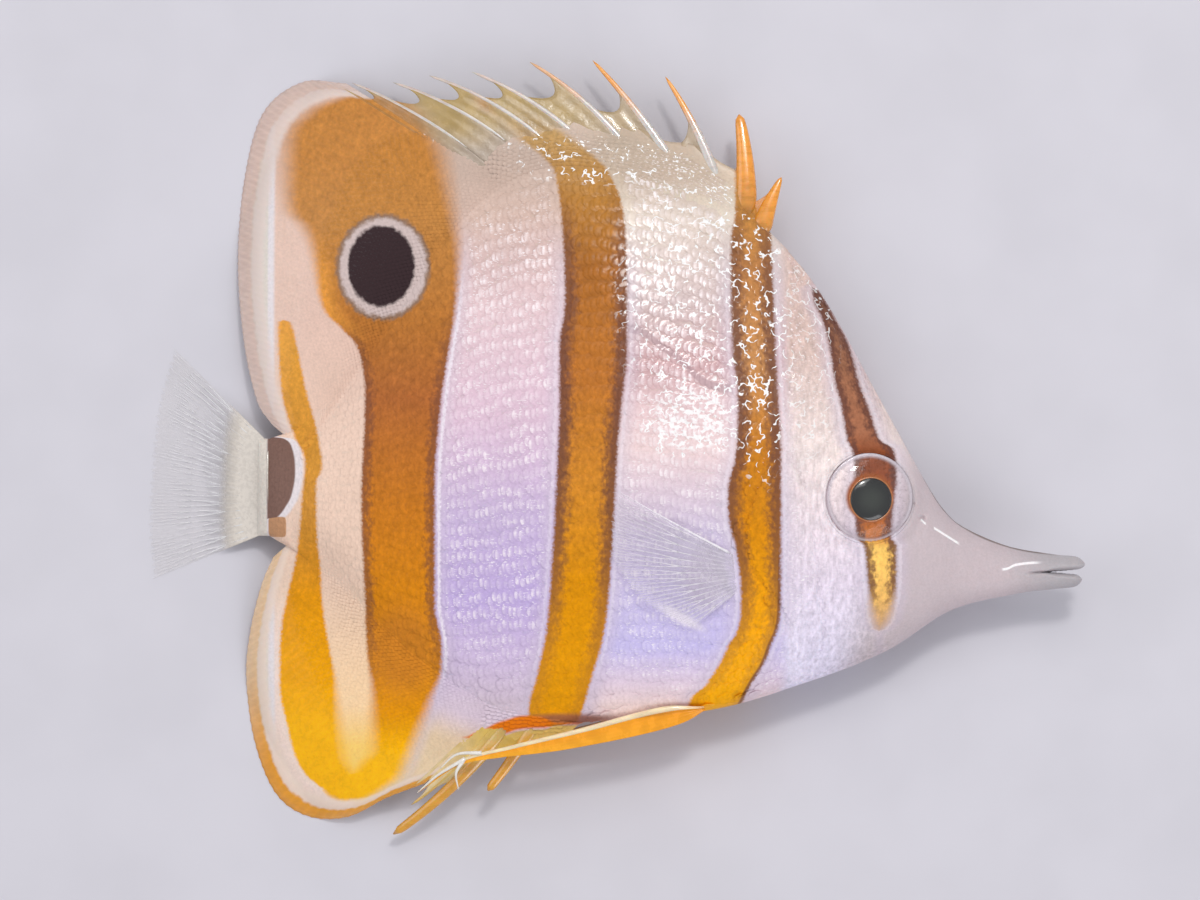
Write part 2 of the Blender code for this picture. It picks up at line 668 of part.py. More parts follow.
def make_pelvic_fins():
    """The long narrow fins folded back under the belly, one on each side of the middle."""
    line = evenly(PELVIC_LINE, PELVIC_STEPS)
    places = np.linspace(0, 1, len(PELVIC_WIDTH))
    width = np.interp(np.linspace(0, 1, PELVIC_STEPS), places, PELVIC_WIDTH)
    run = np.gradient(line, axis=0)
    across = np.column_stack([run[:, 1], -run[:, 0]]) / np.linalg.norm(run, axis=1)[:, None]
    strips = len(PELVIC_THICKNESS)
    columns = np.array([line + across * (width * share)[:, None] for share in np.linspace(-1, 1, strips)])
    ridged = np.array(PELVIC_THICKNESS) + PELVIC_RIDGE * (np.arange(strips) % 2)
    halves = ridged[:, None] * np.clip(width / max(PELVIC_WIDTH), 0.3, 1)[None, :]
    x, y = columns[..., 0], columns[..., 1]
    off = np.maximum(PELVIC_SIDE, flank(x, y) + 1.1 * GAP + halves)
    return [sheet(name, columns, halves, middle(x, y) + side * off)
            for name, side in (("pelvic_fin_right", 1), ("pelvic_fin_left", -1))]


def stand_on_floor(pieces):
    """Moves everything so that the origin is under the middle of the whole fish, in metres."""
    points = np.array([v.co for piece in pieces for v in piece.data.vertices])
    low, high = points.min(axis=0), points.max(axis=0)
    shift = Matrix.Translation((-(low[0] + high[0]) / 2, -(low[1] + high[1]) / 2, -low[2]))
    for piece in pieces:
        piece.data.transform(Matrix.Scale(METRES, 4) @ shift)
        piece.data.update()


def dress(pieces):
    """Gives each piece its own finish and smooth shading."""
    silver, copper, dark = (0.83, 0.79, 0.80), (0.80, 0.45, 0.08), (0.02, 0.02, 0.03)
    clear, pale = (0.86, 0.82, 0.78), (0.84, 0.80, 0.82)
    colours = {
        "head": silver, "gill": silver, "trunk": silver, "tail_s": silver, "snout": pale,
        "upper": pale, "lower": pale, "eye": dark, "dorsal": copper, "anal": copper,
        "tail_f": clear, "pectoral": clear, "pelvic": copper,
    }
    for piece in pieces:
        key = next(k for k in colours if piece.name.startswith(k))
        piece.data.materials.clear()
        piece.data.materials.append(material(piece.name, colours[key], 0.1 if key == "eye" else 0.35))
        piece.data.shade_smooth()
        piece.data.set_sharp_from_angle(angle=math.radians(35))


def main():
    """Builds every piece of the fish."""
    for old in list(bpy.data.objects):
        bpy.data.objects.remove(old)
    pieces = [make_trunk(), make_tail_stalk(), *make_head(), *make_eyes(), *make_snout_and_jaws(),
              *make_median_fins(), *make_pectoral_fins(), *make_pelvic_fins()]
    stand_on_floor(pieces)
    dress(pieces)


main()
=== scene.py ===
"""How a young copperband butterflyfish looks: its skin, scales, fins and eyes, at life size.

The fish lies on its left side. Sizes are in the fish's own millimetres: X runs forward along it,
Y up towards its back, and Z out of its right side, which faces up. Place turns them into the
frame's metres. Lists of points run from the snout to the tail, or from the back to the belly.
"""

import logging
import math
from collections.abc import Callable, Sequence
from dataclasses import dataclass, field
from enum import Enum
from functools import reduce

import bmesh
import bpy
import numpy as np
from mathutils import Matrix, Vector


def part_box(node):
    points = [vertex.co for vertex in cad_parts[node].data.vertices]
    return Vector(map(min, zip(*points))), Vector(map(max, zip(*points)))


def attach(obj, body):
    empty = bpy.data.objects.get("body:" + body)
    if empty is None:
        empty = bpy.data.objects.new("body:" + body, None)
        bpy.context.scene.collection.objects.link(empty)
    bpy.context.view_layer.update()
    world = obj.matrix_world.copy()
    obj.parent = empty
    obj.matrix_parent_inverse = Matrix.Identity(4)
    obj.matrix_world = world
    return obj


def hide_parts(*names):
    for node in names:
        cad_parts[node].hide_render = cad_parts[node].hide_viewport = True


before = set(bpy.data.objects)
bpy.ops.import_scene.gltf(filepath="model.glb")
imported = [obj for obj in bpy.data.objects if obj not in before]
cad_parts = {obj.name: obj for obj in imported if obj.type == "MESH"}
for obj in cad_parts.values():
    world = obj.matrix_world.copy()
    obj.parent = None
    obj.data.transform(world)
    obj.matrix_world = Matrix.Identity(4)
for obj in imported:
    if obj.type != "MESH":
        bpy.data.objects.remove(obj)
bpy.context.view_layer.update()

MM = 0.001
BODY = "root"
BAKE_MAP = "OFBake"
# How high one face of a sheet lies on the bake map, and where its other face starts
FACE_SPAN = 0.48
OTHER_FACE = 0.5
# A distance from a fin's free edge that no edge colour reaches
FAR_IN = 9.0
# Limits for a finish that is solid from the foot on
NO_RISE = (-2.0, -1.0)

Array = np.ndarray
Pair = tuple[float, float]
Pairs = Sequence[Pair]
Curve = Callable[[Array], Array]
Colour = tuple[float, float, float]
Socket = bpy.types.NodeSocket
Feed = Socket | float | Colour
Material = bpy.types.Material

log = logging.getLogger("fish")


class Side(Enum):
    """The fish's two sides: the right one faces up."""

    RIGHT = 1
    LEFT = -1

    @property
    def word(self) -> str:
        """The side's name as pieces and nodes carry it."""
        return self.name.lower()


class Slot(Enum):
    """The finishes that the record names."""

    SKIN = "skin"
    EYES = "eyes"
    SPINY_FINS = "spiny_fins"
    SOFT_FINS = "soft_fins"
    CLEAR_FINS = "clear_fins"
    PELVIC_FINS = "pelvic_fins"


def rgb(red: float, green: float, blue: float) -> Colour:
    """A colour in linear light from its three 0 to 255 values on a screen."""
    parts = np.array([red, green, blue]) / 255
    linear = np.where(parts <= 0.04045, parts / 12.92, ((parts + 0.055) / 1.055) ** 2.4)
    return tuple(float(v) for v in linear)


def through(points: Sequence[Sequence[float]], steps: int = 14) -> Array:
    """Points along one smooth curve through the given ones.

    Args:
        points: the points that the curve passes through.
        steps: how many points each run between two of them gets.

    Returns:
        The curve's points, one row each.
    """
    p = np.array(points, float)
    run = np.gradient(p, axis=0)
    share = np.linspace(0, 1, steps, endpoint=False)[:, None]
    a, b, c, d = (2 * share**3 - 3 * share**2 + 1, share**3 - 2 * share**2 + share,
                  3 * share**2 - 2 * share**3, share**3 - share**2)
    parts = [a * p[i] + b * run[i] + c * p[i + 1] + d * run[i + 1] for i in range(len(p) - 1)]
    return np.vstack([*parts, p[-1:]])


def lengths(line: Array) -> Array:
    """The length of a line up to each of its points."""
    return np.concatenate([[0], np.cumsum(np.linalg.norm(np.diff(line, axis=0), axis=1))])


def read(line: Array, at: Array, knots: Array) -> Array:
    """Points of a line at places between its knots, of which each of its points has one."""
    return np.stack([np.interp(at, knots, line[:, k]) for k in range(line.shape[1])], axis=-1)


def evenly(points: Sequence[Sequence[float]], count: int) -> Array:
    """That many points at even distances along a smooth curve through the given ones."""
    line = through(points)
    along = lengths(line)
    return read(line, np.linspace(0, along[-1], count), along)


def graph(points: Pairs) -> Curve:
    """A function that reads the second coordinate of a smooth curve from the first."""
    line = through(points)
    line = line[np.argsort(line[:, 0])]
    return lambda value: np.interp(value, line[:, 0], line[:, 1])


def slope(line: Curve, x: Array, step: float = 0.05) -> Array:
    """How steeply a curve rises at x."""
    return (line(x + step) - line(x - step)) / (2 * step)


def between(first: Array, second: Array, shares: Array) -> Array:
    """Points at shares of the way from each point of a line to its partner on another."""
    return first[:, None] * (1 - shares)[:, None] + second[:, None] * shares[:, None]


def ramp(value: Array, low: float, high: float) -> Array:
    """0 below low, 1 above high and a smooth step between."""
    share = np.clip((value - low) / (high - low), 0, 1)
    return share * share * (3 - 2 * share)


def bump(value: Array, width: float) -> Array:
    """A smooth hill of height 1 about 0."""
    return np.exp(-((value / width) ** 2))


def turns(count: int, start: float = 0.0) -> Array:
    """That many angles at even steps round a full turn."""
    return 2 * math.pi * (np.arange(count) + start) / count


def unit(vectors: Array) -> Array:
    """Vectors brought to length 1 along their last axis."""
    return vectors / np.maximum(np.linalg.norm(vectors, axis=-1, keepdims=True), 1e-12)


def xyz(flat: Array, height: Array) -> Array:
    """Points in space from their places on the fish's side and their heights."""
    return np.concatenate([flat, np.asarray(height)[..., None]], axis=-1)


def quads(at: Array, wrap_rows: bool = False, wrap_columns: bool = False) -> Array:
    """The quads between neighbours in a grid of point numbers.

    Args:
        at: the numbers of the points, rows by columns.
        wrap_rows: whether the last row meets the first.
        wrap_columns: whether the last column meets the first.

    Returns:
        Four point numbers for each quad.
    """
    at = np.pad(at, ((0, int(wrap_rows)), (0, int(wrap_columns))), mode="wrap")
    return np.stack([at[:-1, :-1], at[1:, :-1], at[1:, 1:], at[:-1, 1:]], axis=-1).reshape(-1, 4)


@dataclass(frozen=True)
class Place:
    """Turns the fish's own millimetres into the frame's metres."""

    shift_x: float
    shift_y: float

    @classmethod
    def from_frame(cls, form: "FishForm") -> "Place":
        """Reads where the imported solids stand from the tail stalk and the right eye."""
        stalk_low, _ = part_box("tail_stalk")
        eye_low, eye_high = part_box("eye_right")
        return cls(stalk_low.x / MM - form.stalk_end_x,
                   (eye_low.y + eye_high.y) / 2 / MM - form.eye_centre[1])

    def metres(self, points: Array) -> Array:
        """Points of the fish in the frame's metres."""
        return (np.asarray(points, float) + (self.shift_x, self.shift_y, 0.0)) * MM


@dataclass
class Shape:
    """A mesh on the way: its points, its faces with their places on the bake map, and point marks."""

    points: Array
    faces: list[Array]
    corners: list[Array]
    marks: dict[str, Array] = field(default_factory=dict)

    @classmethod
    def joined(cls, shapes: Sequence["Shape"]) -> "Shape":
        """One shape of several.

        Args:
            shapes: the shapes to join, in order.

        Returns:
            A shape that holds them all, with 0 where a shape lacks a mark.
        """
        starts = np.concatenate([[0], np.cumsum([len(s.points) for s in shapes])])
        names = sorted({name for s in shapes for name in s.marks})
        marks = {name: np.concatenate([s.marks.get(name, np.zeros(len(s.points))) for s in shapes])
                 for name in names}
        return cls(np.vstack([s.points for s in shapes]),
                   [f + start for s, start in zip(shapes, starts) for f in s.faces],
                   [c for s in shapes for c in s.corners], marks)

    def outwards(self) -> "Shape":
        """This shape with its faces turned so that a closed form has them pointing out."""
        cut = np.vstack([f[:, [0, k, k + 1]] for f in self.faces for k in range(1, f.shape[1] - 1)])
        a, b, c = (self.points[cut[:, k]] for k in range(3))
        if np.einsum("ij,ij->i", a, np.cross(b, c)).sum() < 0:
            self.faces = [f[:, ::-1] for f in self.faces]
            self.corners = [c[:, ::-1] for c in self.corners]
        return self

    def to_object(self, name: str, finish: Material, place: Place, weld: float = 0.0,
                  crisp: float = 0.0) -> bpy.types.Object:
        """An object with this shape.

        Args:
            name: the piece's name.
            finish: its material.
            place: where the fish lies in the frame.
            weld: points closer than this many metres become one.
            crisp: edges that bend by more than this angle stay sharp.

        Returns:
            The new object, linked to the scene.
        """
        mesh = bpy.data.meshes.new(name)
        loops = np.concatenate([f.ravel() for f in self.faces])
        sizes = np.concatenate([np.full(len(f), f.shape[1]) for f in self.faces])
        mesh.vertices.add(len(self.points))
        mesh.vertices.foreach_set("co", place.metres(self.points).astype(np.float32).ravel())
        mesh.loops.add(len(loops))
        mesh.loops.foreach_set("vertex_index", loops.astype(np.int32))
        mesh.polygons.add(len(sizes))
        mesh.polygons.foreach_set("loop_start", (np.cumsum(sizes) - sizes).astype(np.int32))
        mesh.update(calc_edges=True)
        flat = np.concatenate([c.reshape(-1, 2) for c in self.corners]).astype(np.float32)
        mesh.uv_layers.new(name=BAKE_MAP).data.foreach_set("uv", flat.ravel())
        for mark, values in self.marks.items():
            mesh.attributes.new(mark, "FLOAT", "POINT").data.foreach_set("value", values.astype(np.float32))
        mesh.materials.append(finish)
        if weld:
            self.weld(mesh, weld)
        mesh.validate()
        mesh.shade_smooth()
        if crisp:
            mesh.set_sharp_from_angle(angle=crisp)
        made = bpy.data.objects.new(name, mesh)
        bpy.context.scene.collection.objects.link(made)
        return made

    @staticmethod
    def weld(mesh: bpy.types.Mesh, distance: float) -> None:
        """Joins points that coincide and drops what is left without a face."""
        shaped = bmesh.new()
        shaped.from_mesh(mesh)
        bmesh.ops.remove_doubles(shaped, verts=shaped.verts, dist=distance)
        loose = [v for v in shaped.verts if not v.link_faces]
        bmesh.ops.delete(shaped, geom=loose, context="VERTS")
        shaped.to_mesh(mesh)
        shaped.free()


def thin_sheet(middle: Array, half: Array, marks: dict[str, Array]) -> Shape:
    """A thin closed sheet about a grid of points, with its thickness in z.

    Args:
        middle: points of its middle, rows by columns by 3.
        half: half the thickness at each point.
        marks: values at each point of the grid.

    Returns:
        The sheet, closed at its four edges.
    """
    rows, columns = half.shape
    total = rows * columns
    lift = half[..., None] * (0.0, 0.0, 1.0)
    points = np.vstack([(middle + lift).reshape(-1, 3), (middle - lift).reshape(-1, 3)])
    at = np.arange(total).reshape(rows, columns)
    top = quads(at)
    rim = np.concatenate([at[:, 0], at[-1, 1:], at[-2::-1, -1], at[0, -2:0:-1]])
    after = np.roll(rim, -1)
    wall = np.column_stack([after, rim, rim + total, after + total])
    across, along = np.meshgrid(np.linspace(0, 1, columns), np.linspace(0, 1, rows))
    flat = np.stack([along, across * FACE_SPAN], axis=-1).reshape(-1, 2)
    under = flat + (0.0, OTHER_FACE)
    faces = [top, top[:, ::-1] + total, wall]
    corners = [flat[top], under[top[:, ::-1]], flat[wall % total]]
    kept = {name: np.tile(value.ravel(), 2) for name, value in marks.items()}
    return Shape(points, faces, corners, kept).outwards()


def tube(path: Array, radius: Array, sides: int, marks: dict[str, Array],
         spot: tuple[float, float, float, float] = (0.0, 0.0, 1.0, 1.0)) -> Shape:
    """A round bar along a path, closed at both ends.

    Args:
        path: points of its axis.
        radius: its radius at each point.
        sides: how many sides it has.
        marks: values at each point of the axis.
        spot: the corner and the size of its place on the bake map.

    Returns:
        The closed bar.
    """
    run = unit(np.gradient(path, axis=0))
    across = unit(np.cross(run, (0.0, 0.0, 1.0)) + (0.0, 1e-9, 0.0))
    up = np.cross(across, run)
    turn = turns(sides)[None, :, None]
    out = np.cos(turn) * across[:, None] + np.sin(turn) * up[:, None]
    points = path[:, None] + radius[:, None, None] * out
    at = np.arange(len(path) * sides).reshape(-1, sides)
    walls = quads(at, wrap_columns=True)
    ends = np.vstack([at[0], at[-1][::-1]])
    along = np.repeat(np.linspace(0, 1, len(path)), sides)
    around = np.tile(np.arange(sides) / sides, len(path))
    flat = np.column_stack([spot[0] + spot[2] * along, spot[1] + spot[3] * around])
    corners = flat[walls]
    corners[..., 1] = corners[:, :1, 1] + np.array([0, 0, 1, 1]) * spot[3] / sides
    kept = {name: np.repeat(value, sides) for name, value in marks.items()}
    return Shape(points.reshape(-1, 3), [walls, ends], [corners, flat[ends]], kept).outwards()


def turned(profile: Pairs, centre: Sequence[float], side: Side, tilt: float, around: int = 72) -> Shape:
    """A closed turned body that is set on one side of the fish.

    Args:
        profile: radius and height of its outline, from one end on the axis to the other.
        centre: the place of radius 0 and height 0.
        side: the side that its height points out of.
        tilt: how far it leans forward, in radians.
        around: how many steps it is turned in.

    Returns:
        The turned body, with each point's distance from the axis as the mark radius.
    """
    radius, height = np.array(profile, float).T
    turn, lean = turns(around), side.value * tilt
    x, y = radius[:, None] * np.cos(turn), radius[:, None] * np.sin(turn)
    z = np.repeat(height[:, None] * side.value, around, axis=1)
    cos, sin = math.cos(lean), math.sin(lean)
    spun = np.stack([x * cos + z * sin, y, z * cos - x * sin], axis=-1)
    count = len(radius)
    at = np.arange(count * around).reshape(count, around)
    walls = quads(at, wrap_columns=True)
    flat = np.column_stack([np.tile(np.arange(around) / around, count),
                            np.repeat(np.linspace(0, 1, count), around)])
    corners = flat[walls]
    corners[..., 0] = corners[:, :1, 0] + np.array([0, 0, 1, 1]) / around
    return Shape((spun + np.asarray(centre)).reshape(-1, 3), [walls, np.vstack([at[0], at[-1][::-1]])],
                 [corners, flat[at[[0, -1]]]], {"radius": np.repeat(radius, around)}).outwards()


@dataclass(frozen=True)
class FishForm:
    """The fish's own form: its outline, its thickness, how it lies and the folds of its skin."""

    back_line: Pairs = (
        (28.25, -6.78), (27.65, -6.52), (26.3, -6.38), (23.6, -5.9), (21, -4.8), (19.8, -3.8),
        (18.6, -2), (15.9, 2.9), (12.2, 9.5), (8.9, 13.3), (5, 16.2), (-1.1, 17.9),
        (-5.9, 17.4), (-10.7, 13.8), (-17.7, 3.5), (-19.2, 1.4), (-21.1, 0.6))
    belly_line: Pairs = (
        (28.25, -8.12), (27.6, -8.36), (26.3, -8.5), (24, -8.8), (20.1, -9.8), (16.3, -12.2),
        (11.5, -14.1), (5, -15.9), (-4.7, -16.5), (-9.5, -15.2), (-14.4, -11.6), (-18.6, -7),
        (-21.1, -5.3))
    half_widths: Pairs = (
        (28.25, 0.5), (27.7, 0.74), (26.9, 0.72), (25.8, 0.84), (23.6, 1.08), (21, 1.45),
        (18.6, 2.1), (15.3, 3.05), (12, 3.55), (8, 3.85), (3, 3.9), (-1, 3.75),
        (-5, 3.35), (-10, 2.6), (-16, 1.75), (-19, 1.35), (-21.1, 1.15))
    widest_share: float = -0.12
    bulge_power: tuple[float, float, float] = (1.85, 2.3, 2.0)
    bulge_fullness: tuple[float, float, float] = (0.85, 0.62, 0.6)
    rim_half: float = 0.3
    thinnest_rim: float = 0.02
    fin_starts: Pair = (10.2, -1.3)
    fin_end: float = -19.8
    fin_foot: float = 0.34
    fin_slope: float = 0.6
    fin_join: float = 0.6
    fin_thinning: float = 0.75
    coat: float = 0.05
    head_blend: Pair = (8, 19)
    rim_blend: Pair = (8.5, 12)
    middle_height: float = 3.55
    sag_centre: Pair = (-1, 0)
    sag_reach: Pair = (22, 19)
    sag_start: float = 0.75
    sag_depth: float = 5.2
    rear_sag_from: float = -9.0
    rear_sag: float = 0.0435
    stalk_end_x: float = -21.1
    stalk_taper: Pair = (-20.3, -21.9)
    bed_centre: Pair = (3.2, -6.4)
    bed_reach: Pair = (5, 5.3)
    bed_depth: float = 1.12
    gill_line: Pairs = (
        (9.3, 12.9), (10.4, 9), (10.5, 4.1), (9.5, -0.1), (8.1, -3.4), (7.8, -5.8),
        (8.4, -7.6), (9.7, -9.2), (10.7, -11.6), (11.9, -14))
    cheek_line: Pairs = (
        (9.8, 0.3), (11.2, -2.2), (11.8, -5.4), (12.1, -8.4), (12.4, -10.8), (12.2, -12.2),
        (11.4, -13.2))
    mouth_line: Pairs = ((24.4, -7.55), (25.8, -7.46), (27.3, -7.46), (28.3, -7.44))
    gape_line: Pairs = ((25.7, 0), (26.2, 0.03), (27.3, 0.12), (28.3, 0.2))
    upper_tip: float = 28.25
    lower_tip: float = 28.05
    tip_round: float = 0.5
    lip_round: float = 0.3
    eye_centre: Pair = (15.1, -2.95)
    eye_radius: float = 2.65
    eye_sunk: float = 0.42
    eye_tilt: float = math.radians(12)
    nostrils: Pairs = ((18.35, -4.2), (17.7, -3.3))
    gill_fold: Pair = (0.08, 0.06)
    cheek_fold: Pair = (0.04, 0.03)
    eye_fold: Pair = (0.1, 0.07)
    nostril_fold: Pair = (0.05, 0.3)
    socket_depth: float = 1.3
    floor_gap: float = 0.02
    back: Curve = graph(back_line)
    belly: Curve = graph(belly_line)
    half_width: Curve = graph(half_widths)
    gill_x: Curve = graph([(y, x) for x, y in gill_line])
    cheek_x: Curve = graph([(y, x) for x, y in cheek_line])
    mouth_y: Curve = graph(mouth_line)
    gape: Curve = graph(gape_line)

    def share(self, x: Array, y: Array) -> Array:
        """Share of the height at a place: 1 at the back and -1 at the belly."""
        return np.clip(2 * (y - self.belly(x)) / (self.back(x) - self.belly(x)) - 1, -1, 1)

    def roundness(self, x: Array, share: Array) -> Array:
        """How much of the half width is left at a share of the height.

        Args:
            x: places along the fish.
            share: shares of the height there.

        Returns:
            1 at the widest place and 0 at the back and the belly.
        """
        above = share > self.widest_share
        off = np.where(above, (share - self.widest_share) / (1 - self.widest_share),
                       (self.widest_share - share) / (1 + self.widest_share))
        head = ramp(x, *self.head_blend)
        power, fullness = (np.where(above, upper, lower) * (1 - head) + ahead * head
                           for upper, lower, ahead in (self.bulge_power, self.bulge_fullness))
        return np.maximum(1 - np.clip(off, 0, 1) ** power, 0) ** fullness

    def half(self, x: Array, share: Array) -> Array:
        """Half the thickness of the bare form, closed round at the back and the belly.

        Args:
            x: places along the fish.
            share: shares of the height there.

        Returns:
            The half thicknesses.
        """
        rim = self.rim_half * (1 - ramp(x, *self.rim_blend)) + self.thinnest_rim
        full = rim + (self.half_width(x) - rim) * self.roundness(x, share)
        gentle = self.fin_foot + self.fin_slope * self.from_edge(x, share)
        soft = np.clip(0.5 + (full - gentle) / self.fin_join, 0, 1)
        gentle = full + (gentle - full) * soft - 0.5 * self.fin_join * soft * (1 - soft)
        full = full + (np.minimum(gentle, full) - full) * self.finned(x, share)
        rounded = rim * (1 - self.fin_thinning * self.finned(x, share))
        width = np.minimum(2 * rounded / (self.back(x) - self.belly(x)), 0.5)
        closed = np.sqrt(1 - np.clip((np.abs(share) - 1 + width) / width, 0, 1) ** 2)
        taper = np.clip((self.stalk_taper[0] - x) / (self.stalk_taper[0] - self.stalk_taper[1]), 0, 1)
        return full * closed * np.sqrt(1 - taper**2)

    def lean(self, x: Array, share: Array) -> Array:
        """Cosine of the slope of the nearer outline, the back's or the belly's, at x."""
        return 1 / np.hypot(1, np.where(share > 0, slope(self.back, x), slope(self.belly, x)))

    def from_edge(self, x: Array, share: Array) -> Array:
        """Distance from the body's outline to a place inside it."""
        return 0.5 * (1 - np.abs(share)) * (self.back(x) - self.belly(x)) * self.lean(x, share)

    def finned(self, x: Array, share: Array) -> Array:
        """1 where a fin grows out of the back or the belly and 0 elsewhere."""
        front = np.where(share > 0, self.fin_starts[0], self.fin_starts[1])
        return ramp(front - x, -1.6, 2.8) * ramp(x - self.fin_end, -0.3, 0.3)

    def middle(self, x: Array, y: Array) -> Array:
        """The fish's middle plane: level at the body, and the rear and the fins sag.

        Args:
            x: places along the fish.
            y: heights above its axis.

        Returns:
            The plane's heights in z.
        """
        out_x = np.minimum(x - self.sag_centre[0], 0) / self.sag_reach[0]
        out_y = (y - self.sag_centre[1]) / self.sag_reach[1]
        beyond = np.maximum(np.hypot(out_x, out_y) - self.sag_start, 0)
        rear = np.maximum(self.rear_sag_from - x, 0)
        return self.middle_height - self.sag_depth * beyond**2 - self.rear_sag * rear**1.5

    def rest(self, flat: Array, half: Array) -> Array:
        """Height of the middle of a fin of that half thickness, kept off the floor."""
        return np.maximum(self.middle(flat[..., 0], flat[..., 1]), half + self.floor_gap)

    def bed(self, x: Array, y: Array) -> Array:
        """Height of the hollow that the lower pectoral fin presses into the flank."""
        away = np.hypot((x - self.bed_centre[0]) / self.bed_reach[0],
                        (y - self.bed_centre[1]) / self.bed_reach[1])
        return self.bed_depth * (1 - ramp(away, 1, 1.3))

    def eye_distance(self, x: Array, y: Array) -> Array:
        """Distance from the middle of the eye, seen from the side."""
        return np.hypot(x - self.eye_centre[0], y - self.eye_centre[1])

    def folds(self, x: Array, y: Array) -> Array:
        """The folds of the gill cover, the cheek, the eye's rim and the nostrils.

        Args:
            x: places along the fish.
            y: heights above its axis.

        Returns:
            How far the skin stands out of the bare form there.
        """
        ahead = x - self.gill_x(y)
        strength = (0.3 + 0.7 * ramp(-y, 0, 3)) * ramp(-y, -11, -6) * ramp(y, -11.8, -9.6)
        rise, groove = self.gill_fold
        cover = rise * ramp(ahead, -0.05, 0.2) * np.exp(-np.maximum(ahead, 0) / 2.2)
        cover -= groove * bump(ahead + 0.1, 0.12)
        behind = x - self.cheek_x(y)
        rise, groove = self.cheek_fold
        cheek = rise * ramp(behind, -0.1, 0.3) * np.exp(-np.maximum(behind, 0) / 1.8)
        cheek -= groove * bump(behind + 0.1, 0.2)
        cheek = cheek * ramp(-y, -1.2, 0.6) * ramp(y, -13.6, -12.6)
        away = self.eye_distance(x, y)
        rise, groove = self.eye_fold
        orbit = rise * bump(away - 2.95, 0.22) - groove * bump(away - 3.45, 0.3)
        rise, groove = self.nostril_fold
        pits = np.zeros_like(ahead)
        for spot_x, spot_y in self.nostrils:
            near = np.hypot(x - spot_x, y - spot_y)
            pits += rise * bump(near - 0.25, 0.08) - groove * bump(near, 0.15)
        return strength * cover + cheek + orbit + pits

    def jaws(self, x: Array, y: Array) -> tuple[Array, Array]:
        """Parts the snout's end into two rounded jaws.

        Args:
            x: places along the fish.
            y: heights on the undivided snout.

        Returns:
            The heights on the jaws and the share of the half thickness that is left there.
        """
        centre, gap = self.mouth_y(x), self.gape(x)
        off = np.abs(y - centre)
        crease = 1 - 0.3 * ramp(x, 24.4, 25.5) * bump(off, 0.07)
        lip = 0.02 + (self.lip_round - 0.02) * ramp(x, 25.6, 26.5)
        inner = 1 - np.clip((off - gap) / lip, 0, 1)
        kept = np.where(x > 25.6, np.sqrt(1 - inner**2), 1) * crease
        upper = y > centre
        tip = np.where(upper, self.upper_tip, self.lower_tip)
        near = np.clip((x - tip + self.tip_round) / self.tip_round, 0, 1)
        blunt = np.sqrt(1 - near**2)
        axis = np.where(upper, (self.back(x) + centre + gap) / 2, (self.belly(x) + centre - gap) / 2)
        return axis + (y - axis) * blunt, kept * blunt

    def surface(self, side: Side, x: Array, y: Array, socket: bool = False) -> Array:
        """Height of the skin on one side.

        Args:
            side: which side.
            x: places along the fish.
            y: heights above its axis.
            socket: whether the eye's socket is sunk in.

        Returns:
            The heights in z.
        """
        share = self.share(x, y)
        half = self.half(x, share)
        inside = 1 - np.abs(share) ** 10
        half = half + (self.folds(x, y) - self.coat) * inside * ramp(half, 0.05, 0.5)
        if socket:
            half = half - self.socket_depth * (1 - ramp(self.eye_distance(x, y), 2.4, 2.68))
        return self.height(side, x, y, half)

    def height(self, side: Side, x: Array, y: Array, half: Array) -> Array:
        """Height in z on one side, kept off the floor and out of the fin's bed.

        Args:
            side: which side.
            x: places along the fish.
            y: heights above its axis.
            half: how far they are from the middle plane.

        Returns:
            The heights.
        """
        centre = self.middle(x, y)
        if side is Side.RIGHT:
            return centre + half
        low = np.maximum(self.bed(x, y), self.coat) + self.floor_gap
        return np.where(half > 1e-6, np.maximum(centre - half, np.minimum(low, centre)), centre)

    def eye_place(self, side: Side) -> tuple[float, float, float]:
        """The middle of an eye, a little below the surface of the cheek."""
        x, y = np.array([self.eye_centre[0]]), np.array([self.eye_centre[1]])
        out = float(self.half(x, self.share(x, y))[0]) - self.eye_sunk
        return (*self.eye_centre, float(self.middle(x, y)[0]) + side.value * out)

    def off_body(self, line: Curve, xs: Array, outwards: Array | float) -> Array:
        """Points along the back or belly line, moved out of the body by so many millimetres."""
        steep = slope(line, xs)
        normal = np.column_stack([-steep, np.ones_like(steep)]) / np.hypot(steep, 1)[:, None]
        return np.column_stack([xs, line(xs)]) + np.reshape(outwards, (-1, 1)) * normal

    @staticmethod
    def spaced_along(line: Curve, first: float, last: float, count: int) -> Array:
        """Places in x at even distances along the back or belly line."""
        xs = np.linspace(first, last, 400)
        along = lengths(np.column_stack([xs, line(xs)]))
        return np.interp(np.linspace(0, along[-1], count), along, xs)


